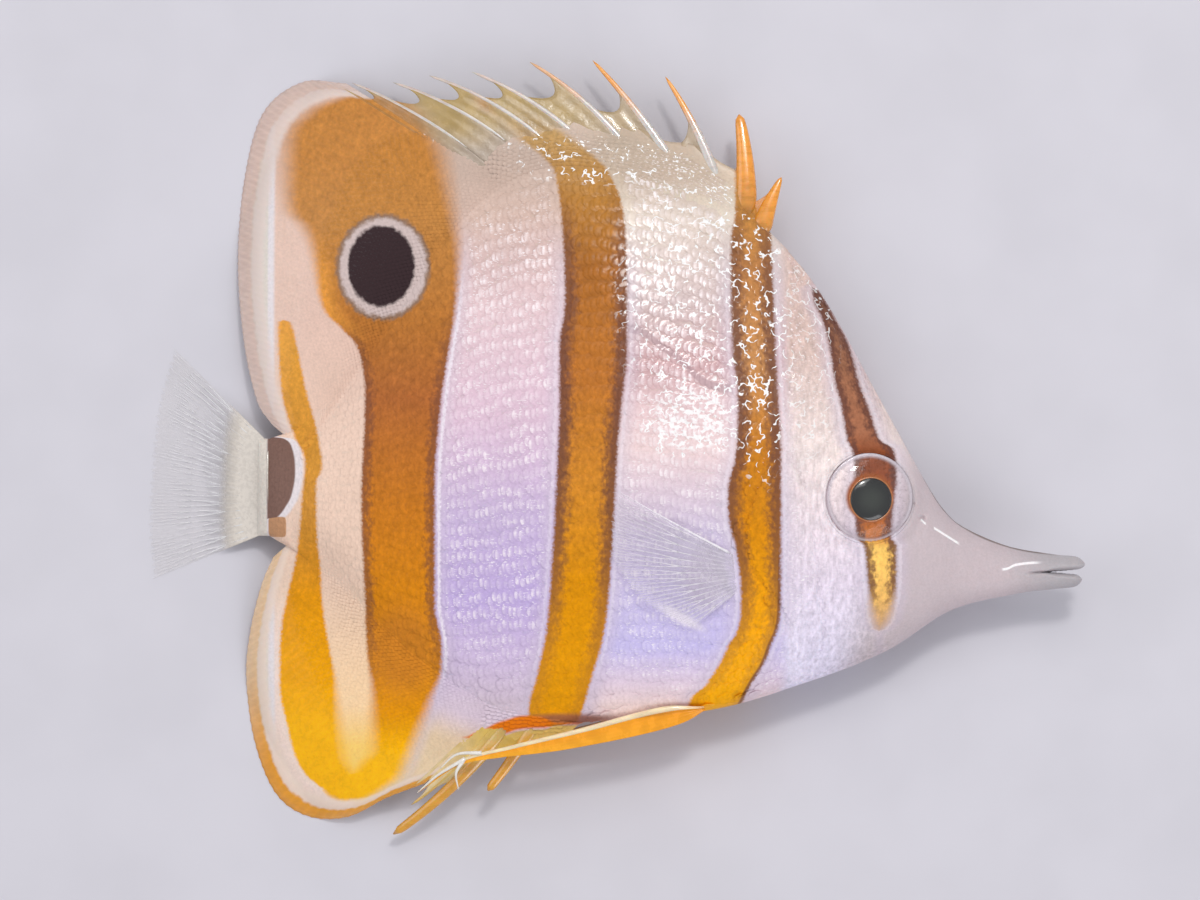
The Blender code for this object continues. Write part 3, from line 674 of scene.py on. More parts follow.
class Nodes:
    """Builds a shader's nodes in short steps. A value may be a socket, a number or a colour."""

    def __init__(self, tree: bpy.types.NodeTree) -> None:
        """Takes the tree that the nodes go into."""
        self.tree = tree

    def make(self, kind: str, **settings: object) -> bpy.types.Node:
        """A new node of that kind with its settings."""
        node = self.tree.nodes.new(f"ShaderNode{kind}")
        for name, value in settings.items():
            setattr(node, name, value)
        return node

    def feed(self, target: Socket, value: Feed) -> None:
        """Links a socket to an input, or sets the input to a number or colour."""
        if isinstance(value, bpy.types.NodeSocket):
            self.tree.links.new(value, target)
        elif isinstance(value, tuple) and len(target.default_value) == 4:
            target.default_value = (*value, 1.0)
        else:
            target.default_value = value

    def feed_all(self, targets: Sequence[Socket], values: Sequence[Feed]) -> None:
        """Feeds inputs in their order."""
        for target, value in zip(targets, values):
            self.feed(target, value)

    def math(self, operation: str, *values: Feed) -> Socket:
        """One step of arithmetic with up to three values."""
        node = self.make("Math", operation=operation)
        self.feed_all(node.inputs, values)
        return node.outputs[0]

    def chain(self, operation: str, values: Sequence[Feed]) -> Socket:
        """The same arithmetic over any number of values."""
        return reduce(lambda a, b: self.math(operation, a, b), values)

    def add(self, *values: Feed) -> Socket:
        """The sum of values."""
        return self.chain("ADD", values)

    def less(self, a: Feed, b: Feed) -> Socket:
        """The first value less the second."""
        return self.math("SUBTRACT", a, b)

    def times(self, *values: Feed) -> Socket:
        """The product of values."""
        return self.chain("MULTIPLY", values)

    def larger(self, *values: Feed) -> Socket:
        """The largest of values."""
        return self.chain("MAXIMUM", values)

    def size(self, value: Feed) -> Socket:
        """A value without its sign."""
        return self.math("ABSOLUTE", value)

    def line(self, value: Feed, rise: Feed, start: Feed) -> Socket:
        """The value times a rise, plus a start."""
        return self.math("MULTIPLY_ADD", value, rise, start)

    def step(self, value: Feed, low: float, high: float, start: float = 0.0, end: float = 1.0) -> Socket:
        """A smooth step.

        Args:
            value: what the step follows.
            low: where it starts.
            high: where it ends, which may lie below the start.
            start: what it gives at low.
            end: what it gives at high.

        Returns:
            The value of the step.
        """
        node = self.make("MapRange", interpolation_type="SMOOTHSTEP")
        if low > high:
            low, high, start, end = high, low, end, start
        self.feed_all(node.inputs, (value, low, high, start, end))
        return node.outputs[0]

    def grain(self, noise: Socket, start: float, end: float) -> Socket:
        """Goes from start where a noise is low to end where it is high."""
        return self.step(noise, 0.3, 0.7, start, end)

    def curve(self, value: Feed, points: Pairs, low: float, high: float) -> Socket:
        """A smooth curve through points, for a value from low to high.

        Args:
            value: what the curve is read at.
            points: where it passes, sorted by the first number.
            low: the lowest value that it is read at.
            high: the highest one.

        Returns:
            What the curve gives.
        """
        floor = min(p[1] for p in points)
        span = max(p[1] for p in points) - floor or 1.0
        node = self.make("FloatCurve")
        line = node.mapping.curves[0]
        ends = [(0.0, points[0][1]), *[((p[0] - low) / (high - low), p[1]) for p in points],
                (1.0, points[-1][1])]
        while len(line.points) < len(ends):
            line.points.new(0.5, 0.5)
        for point, (at, height) in zip(line.points, ends):
            point.location = (at, (height - floor) / span)
            point.handle_type = "AUTO_CLAMPED"
        node.mapping.update()
        self.feed(node.inputs["Value"], self.line(value, 1 / (high - low), -low / (high - low)))
        return self.line(node.outputs[0], span, floor)

    def blend(self, share: Feed, a: Feed, b: Feed, how: str = "MIX") -> Socket:
        """A colour that goes from a to b as the share goes from 0 to 1."""
        node = self.make("Mix", data_type="RGBA", blend_type=how, clamp_factor=True)
        for name, value in (("Factor_Float", share), ("A_Color", a), ("B_Color", b)):
            self.feed(next(s for s in node.inputs if s.identifier == name), value)
        return next(s for s in node.outputs if s.identifier == "Result_Color")

    def over(self, colour: Feed, share: Feed, *tint: float) -> Socket:
        """A colour with a tint of three 0 to 255 values laid over it, as the share says."""
        return self.blend(share, colour, rgb(*tint))

    def bright(self, colour: Feed, amount: Feed) -> Socket:
        """A colour made that many times as bright."""
        node = self.make("VectorMath", operation="SCALE")
        self.feed(node.inputs[0], colour)
        self.feed(node.inputs["Scale"], amount)
        return node.outputs[0]

    def mark(self, name: str) -> Socket:
        """A value that the mesh's points carry."""
        return self.make("Attribute", attribute_name=name).outputs["Fac"]

    def spot(self) -> Socket:
        """The place on the object, in metres."""
        return self.make("TexCoord").outputs["Object"]

    def noise(self, size: float, detail: float = 2.0, stretch: Colour = (1.0, 1.0, 1.0)) -> Socket:
        """Soft noise about 0.5.

        Args:
            size: the size of its grains in millimetres.
            detail: how many finer layers it has.
            stretch: how many times longer the grains are along each axis.

        Returns:
            The noise.
        """
        node, mapped = self.make("TexNoise"), self.make("Mapping")
        self.feed(mapped.inputs["Vector"], self.spot())
        mapped.inputs["Scale"].default_value = tuple(1 / s for s in stretch)
        self.feed(node.inputs["Vector"], mapped.outputs[0])
        node.inputs["Scale"].default_value = 1 / (size * MM)
        node.inputs["Detail"].default_value = detail
        return node.outputs["Fac"]

    def ripple(self, size: float, detail: float = 2.0, stretch: Colour = (1.0, 1.0, 1.0)) -> Socket:
        """The same noise, about 0."""
        return self.less(self.noise(size, detail, stretch), 0.5)

    def relief(self, height: Feed, depth: float, under: Socket | None = None) -> Socket:
        """A normal that shows fine relief.

        Args:
            height: the relief's height as a share of its depth.
            depth: its depth in millimetres.
            under: the normal that it lies on, if any.

        Returns:
            The normal.
        """
        node = self.make("Bump")
        node.inputs["Strength"].default_value = 1.0
        node.inputs["Distance"].default_value = depth * MM
        self.feed(node.inputs["Height"], height)
        if under is not None:
            self.feed(node.inputs["Normal"], under)
        return node.outputs[0]


class Chart(Nodes):
    """Nodes that know the place on the fish, in the fish's own millimetres."""

    reach: float = 24.0

    def __init__(self, tree: bpy.types.NodeTree, place: Place) -> None:
        """Reads the place from the object's own coordinates."""
        super().__init__(tree)
        parts = self.make("SeparateXYZ")
        self.feed(parts.inputs[0], self.spot())
        self.x = self.line(parts.outputs[0], 1 / MM, -place.shift_x)
        self.y = self.line(parts.outputs[1], 1 / MM, -place.shift_y)

    def along(self, *limits: float) -> Socket:
        """A smooth step along the fish: where it is low and high, and its value there."""
        return self.step(self.x, *limits)

    def up(self, *limits: float) -> Socket:
        """A smooth step up the fish: where it is low and high, and its value there."""
        return self.step(self.y, *limits)

    def at_height(self, points: Pairs) -> Socket:
        """A smooth curve of values by height."""
        return self.curve(self.y, points, -self.reach, self.reach)

    def bands(self, *rows: tuple[float, float, float, float]) -> Socket:
        """A colour that changes with height: each row gives a height and three 0 to 255 values."""
        low, high = rows[0][0] - 1, rows[-1][0] + 1
        node = self.make("ValToRGB")
        elements = node.color_ramp.elements
        for at, *tint in rows:
            elements.new((at - low) / (high - low)).color = (*rgb(*tint), 1.0)
        elements.remove(elements[0])
        elements.remove(elements[len(elements) - 1])
        self.feed(node.inputs[0], self.line(self.y, 1 / (high - low), -low / (high - low)))
        return node.outputs[0]

    def away(self, centre: Pair, reach: Pair) -> Socket:
        """Distance from the middle of an oval: 1 at its edge."""
        across = self.math("DIVIDE", self.less(self.x, centre[0]), reach[0])
        up = self.math("DIVIDE", self.less(self.y, centre[1]), reach[1])
        return self.math("SQRT", self.add(self.times(across, across), self.times(up, up)))

    def patch(self, centre: Pair, reach: Pair, soft: float, strength: float = 1.0) -> Socket:
        """A soft oval, as strong as given inside and 0 beyond its reach."""
        return self.step(self.away(centre, reach), 1.0 + soft, 1.0 - soft, 0.0, strength)


@dataclass(frozen=True)
class Bar:
    """One coloured bar. Each row gives a height and the bar's rear and front edge there."""

    rows: Sequence[tuple[float, float, float]]
    end_length: float = 0.3
    end_gap: float = 0.5

    def edge(self, column: int) -> list[Pair]:
        """One edge as height and x, from the belly up, crossed over beyond both ends of the bar."""
        rows = sorted(self.rows)
        swap = self.end_gap if column == 1 else -self.end_gap
        ends = [(row[0] + step, (row[1] + row[2]) / 2 + swap)
                for row, step in ((rows[0], -self.end_length), (rows[-1], self.end_length))]
        return [ends[0], *[(row[0], row[column]) for row in rows], ends[1]]


@dataclass
class Markings:
    """The bars, the ringed spot and the ground colours, with painted glints, sheen and a painted shadow, as
    one group that all finishes share.
    """

    place: Place
    form: FishForm
    eye_stripe: Bar = Bar((
        (9.7, 11.75, 11.95), (9.2, 11.8, 12.4), (7.76, 12.35, 13.2), (5.95, 12.8, 14.05),
        (4.15, 13.05, 14.5), (2.33, 13.5, 15.15), (0.5, 13.8, 15.8), (-0.35, 14.15, 16.7),
        (-1.8, 14.25, 16.75), (-3.1, 14.25, 16.6), (-5.4, 14.4, 16.45), (-5.8, 14.8, 16.75),
        (-7.65, 15, 16.75), (-9.45, 15.2, 16.55), (-10.9, 15.6, 15.9)))
    second_bar: Bar = Bar((
        (17.8, 7.2, 8.1), (16, 7.1, 8.8), (14.6, 7.1, 9.2), (12, 6.8, 9.3), (5.95, 6.9, 9.5),
        (2.93, 7.2, 9.65), (-0.1, 7.1, 9.8), (-3.1, 6.6, 9.8), (-6.1, 7.1, 9.8), (-9.15, 7.4, 9.8),
        (-11.9, 6.6, 9.2), (-14.3, 5.3, 8), (-16.2, 4.2, 7)))
    third_bar: Bar = Bar((
        (21.4, -8.6, -7.2), (20.1, -7.5, -4.9), (18.6, -5.8, -2.6), (17.4, -4.3, -1.2),
        (16.5, -3.75, -0.45), (13.5, -3.35, 0.45), (9, -3.17, 0.57), (5.95, -3.5, 0.57),
        (2.93, -3.5, 0.27), (-0.1, -3.6, 0), (-6.1, -3.9, -0.33), (-10.7, -4.26, -0.76),
        (-13.7, -4.86, -1.54), (-16.6, -5.4, -2.5)))
    fourth_bar: Bar = Bar((
        (21.5, -16, -15), (21.06, -17.6, -12.7), (20.15, -19.2, -11.65), (18.34, -20.2, -10.75),
        (15, -20.1, -10), (13.5, -19.1, -9.75), (12, -18.5, -9.55), (9, -18, -9.7),
        (7.16, -16.6, -9.95), (5.35, -15.5, -10.25), (2.93, -15.25, -10.6), (-3.1, -15.45, -11),
        (-9.15, -15.25, -11), (-12.2, -15.15, -10.6), (-15.2, -14.85, -11.3), (-16.7, -14.85, -11.9),
        (-17.9, -14.85, -12.4), (-18.9, -15.4, -12.8), (-19.7, -16.2, -13.15), (-20.45, -17.9, -14),
        (-21.05, -17.6, -15), (-21.4, -16.9, -16.3)))
    rear_bar: Bar = Bar((
        (7.7, -20.57, -19.85), (5.95, -20.54, -19.37), (3.84, -20.4, -18.94), (0.39, -19.43, -18.04),
        (-1, -18.9, -17.85), (-2.15, -19, -18.2), (-5.53, -19.3, -18.15), (-7.2, -19.6, -17.98),
        (-8.97, -20.03, -17.9), (-11.5, -20.45, -17.55), (-14.05, -20.5, -17.1),
        (-16.6, -20.1, -16.9), (-18.3, -19.7, -16.65), (-19.6, -19.1, -16), (-20.3, -18.4, -15.3),
        (-21.05, -17.1, -14.85)))
    spot_centre: Pair = (-14.29, 11.03)
    spot_radii: Pair = (2.03, 2.45)
    ring_centre: Pair = (-14.17, 10.97)
    ring_radii: Pair = (2.76, 3.08)
    grain: float = 0.16
    n: Chart = field(init=False)

    def build(self) -> bpy.types.NodeTree:
        """Makes the group, with the outputs Colour, Bar, Spot, Silver and Wet; Wet also places the painted
        glints.
        """
        tree = bpy.data.node_groups.new("markings", "ShaderNodeTree")
        for name in ("Colour", "Bar", "Spot", "Silver", "Wet"):
            kind = "NodeSocketColor" if name == "Colour" else "NodeSocketFloat"
            tree.interface.new_socket(name, in_out="OUTPUT", socket_type=kind)
        n = self.n = Chart(tree, self.place)
        grain = n.ripple(self.grain, 3)
        depth = n.line(grain, 0.34, self.depth_in_bars())
        bar = n.step(n.math("DIVIDE", depth, self.softness()), -1, 1)
        near = n.step(depth, -1.1, -0.3)
        beside = n.times(near, n.along(-13.5, -12), n.up(15, 10, 0, 0.4))
        ground = self.pale_line(depth, n.over(self.ground(), beside, 204, 190, 208))
        colour, stalk = self.stalk_patch(n.blend(bar, ground, self.bar_colour(depth)))
        colour, spot = self.ringed_spot(colour)
        colour, foot = self.lines(colour)
        colour = n.bright(colour, n.add(n.times(grain, n.along(15, 18, 0.34, 0.08)), 1.04))
        spot = n.larger(spot, stalk)
        # dark also holds the painted shadow under the pelvic fin, which the foot mask carries.
        dark = n.larger(bar, foot, spot)
        out = tree.nodes.new("NodeGroupOutput")
        n.feed_all(out.inputs, (colour, dark, spot, self.silver(dark, near), self.wet_and_glint_part()))
        return tree

    def silver(self, dark: Socket, near: Socket) -> Socket:
        """How silvery the scales are: most on the flank, and not at all on dark marks.

        Args:
            dark: where the dark marks are.
            near: how close the bars are.

        Returns:
            A share from 0 to 1.
        """
        n = self.n
        high = n.step(n.line(n.x, -0.45, n.y), 19.5, 14)
        low = n.step(n.line(n.x, 0.3, n.y), -16.5, -12, 0.15, 1)
        calm = n.larger(n.up(-11, -7.5, 0.4, 1), n.along(-3, -4.5))
        return n.times(n.less(1.0, dark), n.along(11.5, 9.8, 0.3, 1), n.step(near, 1, 0.2, 0.15, 1), calm,
                       n.along(-13, -8.5), high, low)

    def wet_and_glint_part(self) -> Socket:
        """Where the fish is wet, with a stronger coat and painted glints: its shoulder, the second bar and
        the dorsal fin's foot.
        """
        n = self.n
        return n.larger(n.patch((5, 9), (5, 8.5), 0.35, 0.8), n.patch((8.5, 6.5), (1.8, 9), 0.3, 0.8),
                        n.patch((-8, 19.3), (3.8, 1.2), 0.4, 0.8), n.patch((-1, 17.4), (5.5, 1.5), 0.4, 0.8),
                        n.patch((4.4, 1.7), (3, 2.4), 0.4), n.patch((11.5, 6), (2, 8), 0.4, 0.5))

    def depth_in_bars(self) -> Socket:
        """How deep a place is inside the nearest bar, in millimetres, and below 0 outside."""
        n = self.n
        return n.larger(*[
            n.math("MINIMUM", n.less(n.x, n.at_height(bar.edge(1))), n.less(n.at_height(bar.edge(2)), n.x))
            for bar in (self.eye_stripe, self.second_bar, self.third_bar, self.fourth_bar, self.rear_bar)])

    def softness(self) -> Socket:
        """Half the width of the bars' soft edge: widest round the top of the fourth bar."""
        n = self.n
        top = n.times(n.up(6, 19, 0, 2), n.along(-8, -10))
        low = n.times(n.up(-12, -17), n.along(-9.5, -11.5), n.along(-18, -16.8))
        end = n.times(n.up(-8, -10.5), n.along(10.3, 11.3))
        return n.line(n.larger(n.up(16.5, 20), end, top, low), 0.5, 0.13)

    def bar_colour(self, depth: Socket) -> Socket:
        """The bars' colour: brown in the middle of the fish and golden below, with dark margins.

        Args:
            depth: how deep a place is inside a bar.

        Returns:
            The colour.
        """
        n = self.n
        third = n.bands((-13, 230, 154, 1), (-8, 216, 141, 4), (-2, 208, 135, 42), (4, 188, 115, 45),
                        (11, 168, 103, 37), (15, 181, 124, 53), (19, 190, 150, 92), (22, 196, 178, 122))
        fourth = n.bands((-18.5, 252, 184, 3), (-16, 228, 148, 4), (-10, 214, 133, 10), (-4, 202, 122, 30),
                         (3, 176, 103, 50), (7.5, 184, 116, 50), (13.5, 194, 133, 67), (18, 196, 131, 60))
        limb = n.bands((-17, 250, 180, 2), (-14, 242, 166, 1), (-9, 224, 148, 4), (-4, 206, 142, 56),
                       (0, 216, 150, 56), (6, 224, 157, 60))
        face = n.bands((-10.8, 206, 164, 120), (-9, 240, 188, 104), (-6, 255, 206, 108), (-5.3, 214, 128, 52),
                       (-3.5, 160, 76, 30), (-0.3, 140, 74, 42), (1, 172, 112, 82), (5, 160, 108, 80),
                       (9.5, 124, 84, 62))
        second = n.bands((-15, 252, 176, 4), (-10, 240, 162, 8), (-5, 216, 138, 12), (0, 198, 124, 26),
                         (5, 202, 142, 84), (11, 188, 128, 72), (15, 192, 134, 60))
        behind, ahead, on_head = n.along(-7, -8.5), n.along(2, 4), n.along(10.3, 11.3)
        colour = n.blend(behind, n.blend(ahead, third, second), fourth)
        off = n.add(n.x, n.up(5, 8, 0, 1.6))
        colour = n.blend(n.times(n.step(off, -16.3, -17.2), n.up(9, 7.6)), colour, limb)
        colour = n.blend(on_head, colour, face)
        colour = n.over(colour, n.patch((-13, -12.2), (2.3, 2.6), 0.5, 0.6), 198, 122, 46)
        gold = n.times(n.along(-13.5, -15.5), n.step(depth, 1.5, 0.3), n.up(6, 8.5), n.up(14, 10, 0, 0.7))
        colour = n.over(colour, gold, 236, 160, 66)
        mottle = n.ripple(0.28, 3, (1, 1.3, 1))
        colour = n.bright(colour, n.line(n.ripple(0.9, 3), 0.3, 1))
        colour = n.bright(colour, n.line(mottle, n.up(-16, -5, 0.3, 0.65), 1))
        front = n.at_height([(-16, 0.2), (-11, 0.4), (-5, 0.75), (2, 0.85), (12, 0.6), (18, 0)])
        rear = n.at_height([(-18, 0), (-13, 0.25), (-8, 0.6), (3, 0.55), (8, 0.15), (12, 0)])
        strength = n.blend(on_head, n.blend(behind, front, rear), n.up(-10.4, -8, 0.1, 0.85))
        wide = n.times(n.line(mottle, 1.1, depth), n.along(10.3, 11.3, 1, 1.7), n.along(-7, -8.5, 1, 1.45))
        margin = n.times(n.step(wide, 1.15, 0.25), strength, n.along(-17, -16))
        edge = n.less(n.at_height(self.second_bar.edge(2)), n.x)
        rim = n.times(n.step(edge, 0.36, 0.14), ahead, n.along(10.8, 10.3), n.up(-3, -7, 0, 0.85))
        return n.over(colour, n.larger(margin, rim), 108, 68, 58)

    def pale_line(self, depth: Socket, ground: Socket) -> Socket:
        """A thin pale line just outside the bars."""
        n = self.n
        line = n.times(n.step(depth, -0.42, -0.25), n.step(depth, -0.1, -0.22), n.up(12, 7), n.up(-15, -12),
                       n.along(-12.8, -11.8), n.along(-9, -8, 0.75, 0.3))
        return n.over(ground, line, 244, 236, 244)

    def ground(self) -> Socket:
        """The silver ground: rosy above, lilac in the middle, lavender below and cream at the rear, with
        painted sheen streaks and a painted glint beside the pectoral fin.
        """
        n = self.n
        rear = n.bands((-15.5, 216, 198, 212), (-13, 208, 189, 218), (-9, 196, 177, 222), (-4, 206, 187, 219),
                       (2, 228, 200, 214), (8, 232, 205, 206), (14, 214, 186, 172), (18, 198, 176, 162),
                       (23, 214, 192, 172))
        front = n.bands((-15.5, 242, 216, 212), (-12, 202, 193, 236), (-5, 208, 197, 218), (0, 242, 218, 214),
                        (2.5, 234, 206, 204), (5, 208, 169, 168), (9, 214, 194, 188), (14, 230, 216, 200),
                        (16.5, 201, 181, 160), (18.5, 190, 170, 150))
        head = n.bands((-12.5, 228, 220, 240), (-8, 230, 217, 232), (0, 240, 223, 218), (6, 218, 191, 181))
        strip = n.bands((-18, 252, 206, 112), (-15.5, 253, 216, 170), (-8, 230, 200, 180), (0, 240, 209, 190),
                        (8, 228, 195, 180))
        colour = n.blend(n.along(9.5, 10.5), n.blend(n.along(-3, 0), rear, front), head)
        colour = n.over(colour, n.step(n.line(n.y, -0.3, n.x), 16.2, 19.2), 199, 185, 189)
        colour = n.over(colour, n.along(22.5, 27), 177, 172, 176)
        low = n.times(n.step(n.line(n.x, 0.35, n.y), -19, -21.5), n.along(-2, -6))
        colour = n.over(colour, low, 230, 204, 170)
        colour = n.over(colour, n.patch((5.3, -7.7), (1.2, 1.7), 0.4, 0.5), 188, 168, 186)
        # Painted highlight: a white glint beside the pectoral fin.
        colour = n.over(colour, self.glow(), 252, 244, 250)
        colour = n.blend(n.along(-14.2, -15.2), colour, strip)
        outer = n.times(n.step(n.line(n.y, 0.35, n.x), -23, -24), n.up(-6, -12))
        colour = n.over(colour, outer, 240, 214, 202)
        # Painted sheen: fine lighter and darker streaks, strongest on the head.
        painted_sheen_streaks = n.times(n.ripple(0.24, 4, (1, 3.5, 1)), n.along(9, 11, 0.12, 0.9), n.along(17.5, 15, 0.12, 1))
        return n.bright(n.bright(colour, n.line(n.ripple(2.4, 3), 0.14, 1)), n.add(painted_sheen_streaks, 1))

    def glow(self) -> Socket:
        """A painted highlight: the pale slanting glint beside the pectoral fin."""
        n = self.n
        across = n.math("DIVIDE", n.less(n.x, 3.8), 1.2)
        up = n.math("DIVIDE", n.less(n.line(n.x, 0.5, n.y), -8.25), 0.34)
        away = n.math("SQRT", n.add(n.times(across, across), n.times(up, up)))
        return n.step(away, 1.6, 0.4, 0, 0.8)

    def lines(self, colour: Socket) -> tuple[Socket, Socket]:
        """The lateral line, the brow line, the snout's painted glints, the anal fin's foot and a painted
        shadow under the pelvic fin.

        Args:
            colour: what they are drawn over.

        Returns:
            The colour with them, and where the lateral line, the foot and the painted shadow are.
        """
        n = self.n
        off = n.size(n.less(n.y, n.curve(n.x, [(0.3, 7.2), (3, 5.9), (6.9, 3.6)], -2, 9)))
        lateral = n.times(n.step(off, 0.36, 0.16), n.along(0.3, 1), n.along(7.2, 6.6))
        colour = n.over(colour, n.times(lateral, 0.45), 158, 134, 148)
        back = n.curve(n.x, sorted(p for p in self.form.back_line if p[0] > 14), 14, 29)
        brow = n.times(n.step(n.less(back, n.y), 0.13, 0.03), n.along(17, 20), n.along(27, 25, 0, 0.75))
        colour = n.over(colour, brow, 104, 88, 78)
        # Painted highlights: thin white glints drawn along the snout.
        glint = n.curve(n.x, [(18.2, -4.3), (18.5, -4.5), (18.9, -4.7), (19.8, -5.25), (20.6, -5.75),
                              (23.2, -7.28), (24.1, -7), (25.8, -6.88)], 17, 27)
        drawn = n.curve(n.x, [(18.2, 0), (18.3, 1), (18.5, 1), (18.6, 0), (19, 0), (19.1, 1), (20.4, 1),
                              (20.7, 0), (23.1, 0), (23.3, 1), (24.9, 1), (25.8, 0)], 17, 27)
        glint = n.times(n.step(n.size(n.less(n.y, glint)), 0.11, 0.04), drawn, 0.9)
        colour = n.over(colour, glint, 252, 250, 252)
        # Painted shadow: a brown shade where the pelvic fin lies over the anal fin's foot.
        brown = n.patch((-3, -16.35), (2.7, 0.34), 0.5)
        foot = n.curve(n.x, [(-9.3, -17.45), (-6.9, -16.85), (-5.2, -16.52), (-3.8, -16.6)], -10, -3)
        strip = n.less(n.y, foot)
        half = n.curve(n.x, [(-9.4, 0), (-8.6, 0.24), (-6.5, 0.4), (-4.5, 0.3), (-3.4, 0)], -10, -3)
        orange = n.times(n.step(n.less(half, n.size(strip)), -0.12, 0.1), n.along(-9.6, -9.1))
        below = n.times(n.step(n.add(strip, half), 0, -0.2), n.along(-9.4, -8.6), n.along(-1.8, -2.6))
        colour = n.over(colour, below, 214, 184, 104)
        # The painted shadow under the pelvic fin.
        colour = n.over(colour, n.times(brown, 0.85), 160, 98, 74)
        return n.over(colour, orange, 230, 122, 14), n.larger(lateral, brown, below, orange)

    def stalk_patch(self, colour: Socket) -> tuple[Socket, Socket]:
        """The dark saddle on the tail stalk, with a pale edge and a tan end below.

        Args:
            colour: what it is drawn over.

        Returns:
            The colour with it, and where the saddle is dark.
        """
        n = self.n
        front = n.curve(n.y, [(-4.35, -21.3), (-4.15, -20.6), (-3.5, -20.06), (-2.7, -19.68), (-1.33, -19.49),
                              (0.05, -19.7), (0.62, -20.25), (0.85, -21.3)], -5, 1.5)
        depth = n.less(front, n.x)
        behind = n.along(-21.3, -21.15)
        colour = n.over(colour, n.along(-21, -21.25), 226, 217, 206)
        colour = n.over(colour, n.times(n.step(depth, -0.6, -0.35), behind), 232, 222, 224)
        tall, wide = (n.math("POWER", n.size(n.math("DIVIDE", n.less(place, middle), half)), 6)
                      for place, middle, half in ((n.y, -4.75, 0.62), (n.x, -20.6, 0.55)))
        colour = n.over(colour, n.times(n.step(n.add(tall, wide), 1.4, 0.6), behind), 192, 144, 108)
        dark = n.times(n.step(depth, -0.07, 0.07), behind)
        return n.over(colour, dark, 128, 98, 88), dark

    def ringed_spot(self, colour: Socket) -> tuple[Socket, Socket]:
        """The black spot of the dorsal fin, in its white ring with a thin grey rim.

        Args:
            colour: what it is drawn over.

        Returns:
            The colour with it, and where the ring and the spot are.
        """
        n = self.n
        ovals = ((self.ring_centre, self.ring_radii), (self.spot_centre, self.spot_radii))
        ring, spot = (n.line(n.ripple(0.35, 3), 0.16, n.away(*oval)) for oval in ovals)
        colour = n.over(colour, n.step(ring, 1.1, 1), 146, 116, 96)
        colour = n.over(colour, n.step(ring, 1.02, 0.9), 209, 190, 186)
        return n.over(colour, n.step(spot, 1.06, 0.94), 58, 42, 45), n.step(ring, 1.05, 0.98)


@dataclass(frozen=True)
class Finish:
    """What all finishes share. Each one only says what the sockets of its surface get."""

    name: str
    markings: bpy.types.NodeTree | None = None

    def build(self) -> Material:
        """Makes the material."""
        made = bpy.data.materials.new(self.name)
        made.use_nodes = True
        n, shader = Nodes(made.node_tree), made.node_tree.nodes["Principled BSDF"]
        for name, value in self.surface(n).items():
            n.feed(shader.inputs[name], value)
        return made

    def surface(self, n: Nodes) -> dict[str, Feed]:
        """What the surface's sockets get.

        Args:
            n: builds the material's nodes.

        Returns:
            A number, a colour or a link by each socket's name.
        """
        raise NotImplementedError

    def drawn(self, n: Nodes) -> dict[str, Socket]:
        """The shared markings, by the names of their outputs."""
        outputs = n.make("Group", node_tree=self.markings).outputs
        return {output.name: output for output in outputs}

    @staticmethod
    def film(n: Nodes, colour: Feed, wet: Socket) -> dict[str, Feed]:
        """A wet coat over a colour, faint where dry, with painted highlights drawn as white curls and blots
        where wet.

        Args:
            n: builds the material's nodes.
            colour: the colour under the film.
            wet: how wet a place is, from 0 to 1.

        Returns:
            What the colour's, the coat's and the gloss's sockets get.
        """
        ripple = n.noise(0.8)
        line = n.step(n.size(n.less(ripple, 0.5)), 0.03, 0.014)
        curls = n.times(line, n.step(n.noise(0.6, 1), 0.47, 0.54), n.step(wet, 0.2, 0.7))
        blots = n.times(n.step(n.noise(0.34, 5, (1, 0.7, 1)), 0.47, 0.57), n.step(wet, 0.8, 1, 0, 0.85))
        # Painted highlights: the white curls and blots stand for glints on the wet skin.
        return {"Base Color": n.over(colour, n.larger(curls, blots), 255, 255, 255),
                "Coat Weight": n.line(wet, 0.36, 0.03), "Coat Normal": n.relief(n.times(ripple, wet), 0.06),
                "Coat Roughness": 0.1, "Coat IOR": 1.5, "Specular IOR Level": 0.1}

    @staticmethod
    def gloss(weight: float, roughness: float, index: float = 1.34) -> dict[str, Feed]:
        """A clear layer over the surface."""
        return {"Coat Weight": weight, "Coat Roughness": roughness, "Coat IOR": index}

    @staticmethod
    def flesh(weight: float, scale: float, radius: Colour = (1.0, 0.2, 0.1)) -> dict[str, Feed]:
        """Light that goes in so many millimetres and comes out again."""
        return {"Subsurface Weight": weight, "Subsurface Scale": scale * MM, "Subsurface Radius": radius}


@dataclass(frozen=True)
class SkinFinish(Finish):
    """Wet skin with the markings, a fine grain and painted glints where wet."""

    def surface(self, n: Nodes) -> dict[str, Feed]:
        """What the surface's sockets get."""
        drawn, fine = self.drawn(n), n.noise(0.12, 3)
        return {"Roughness": n.grain(fine, 0.38, 0.52),
                "Normal": n.relief(fine, 0.006, n.relief(n.noise(0.55), 0.02)),
                **self.flesh(0.18, 0.6, (1, 0.6, 0.5)),
                **self.film(n, n.bright(drawn["Colour"], n.grain(fine, 0.96, 1.03)), drawn["Wet"])}


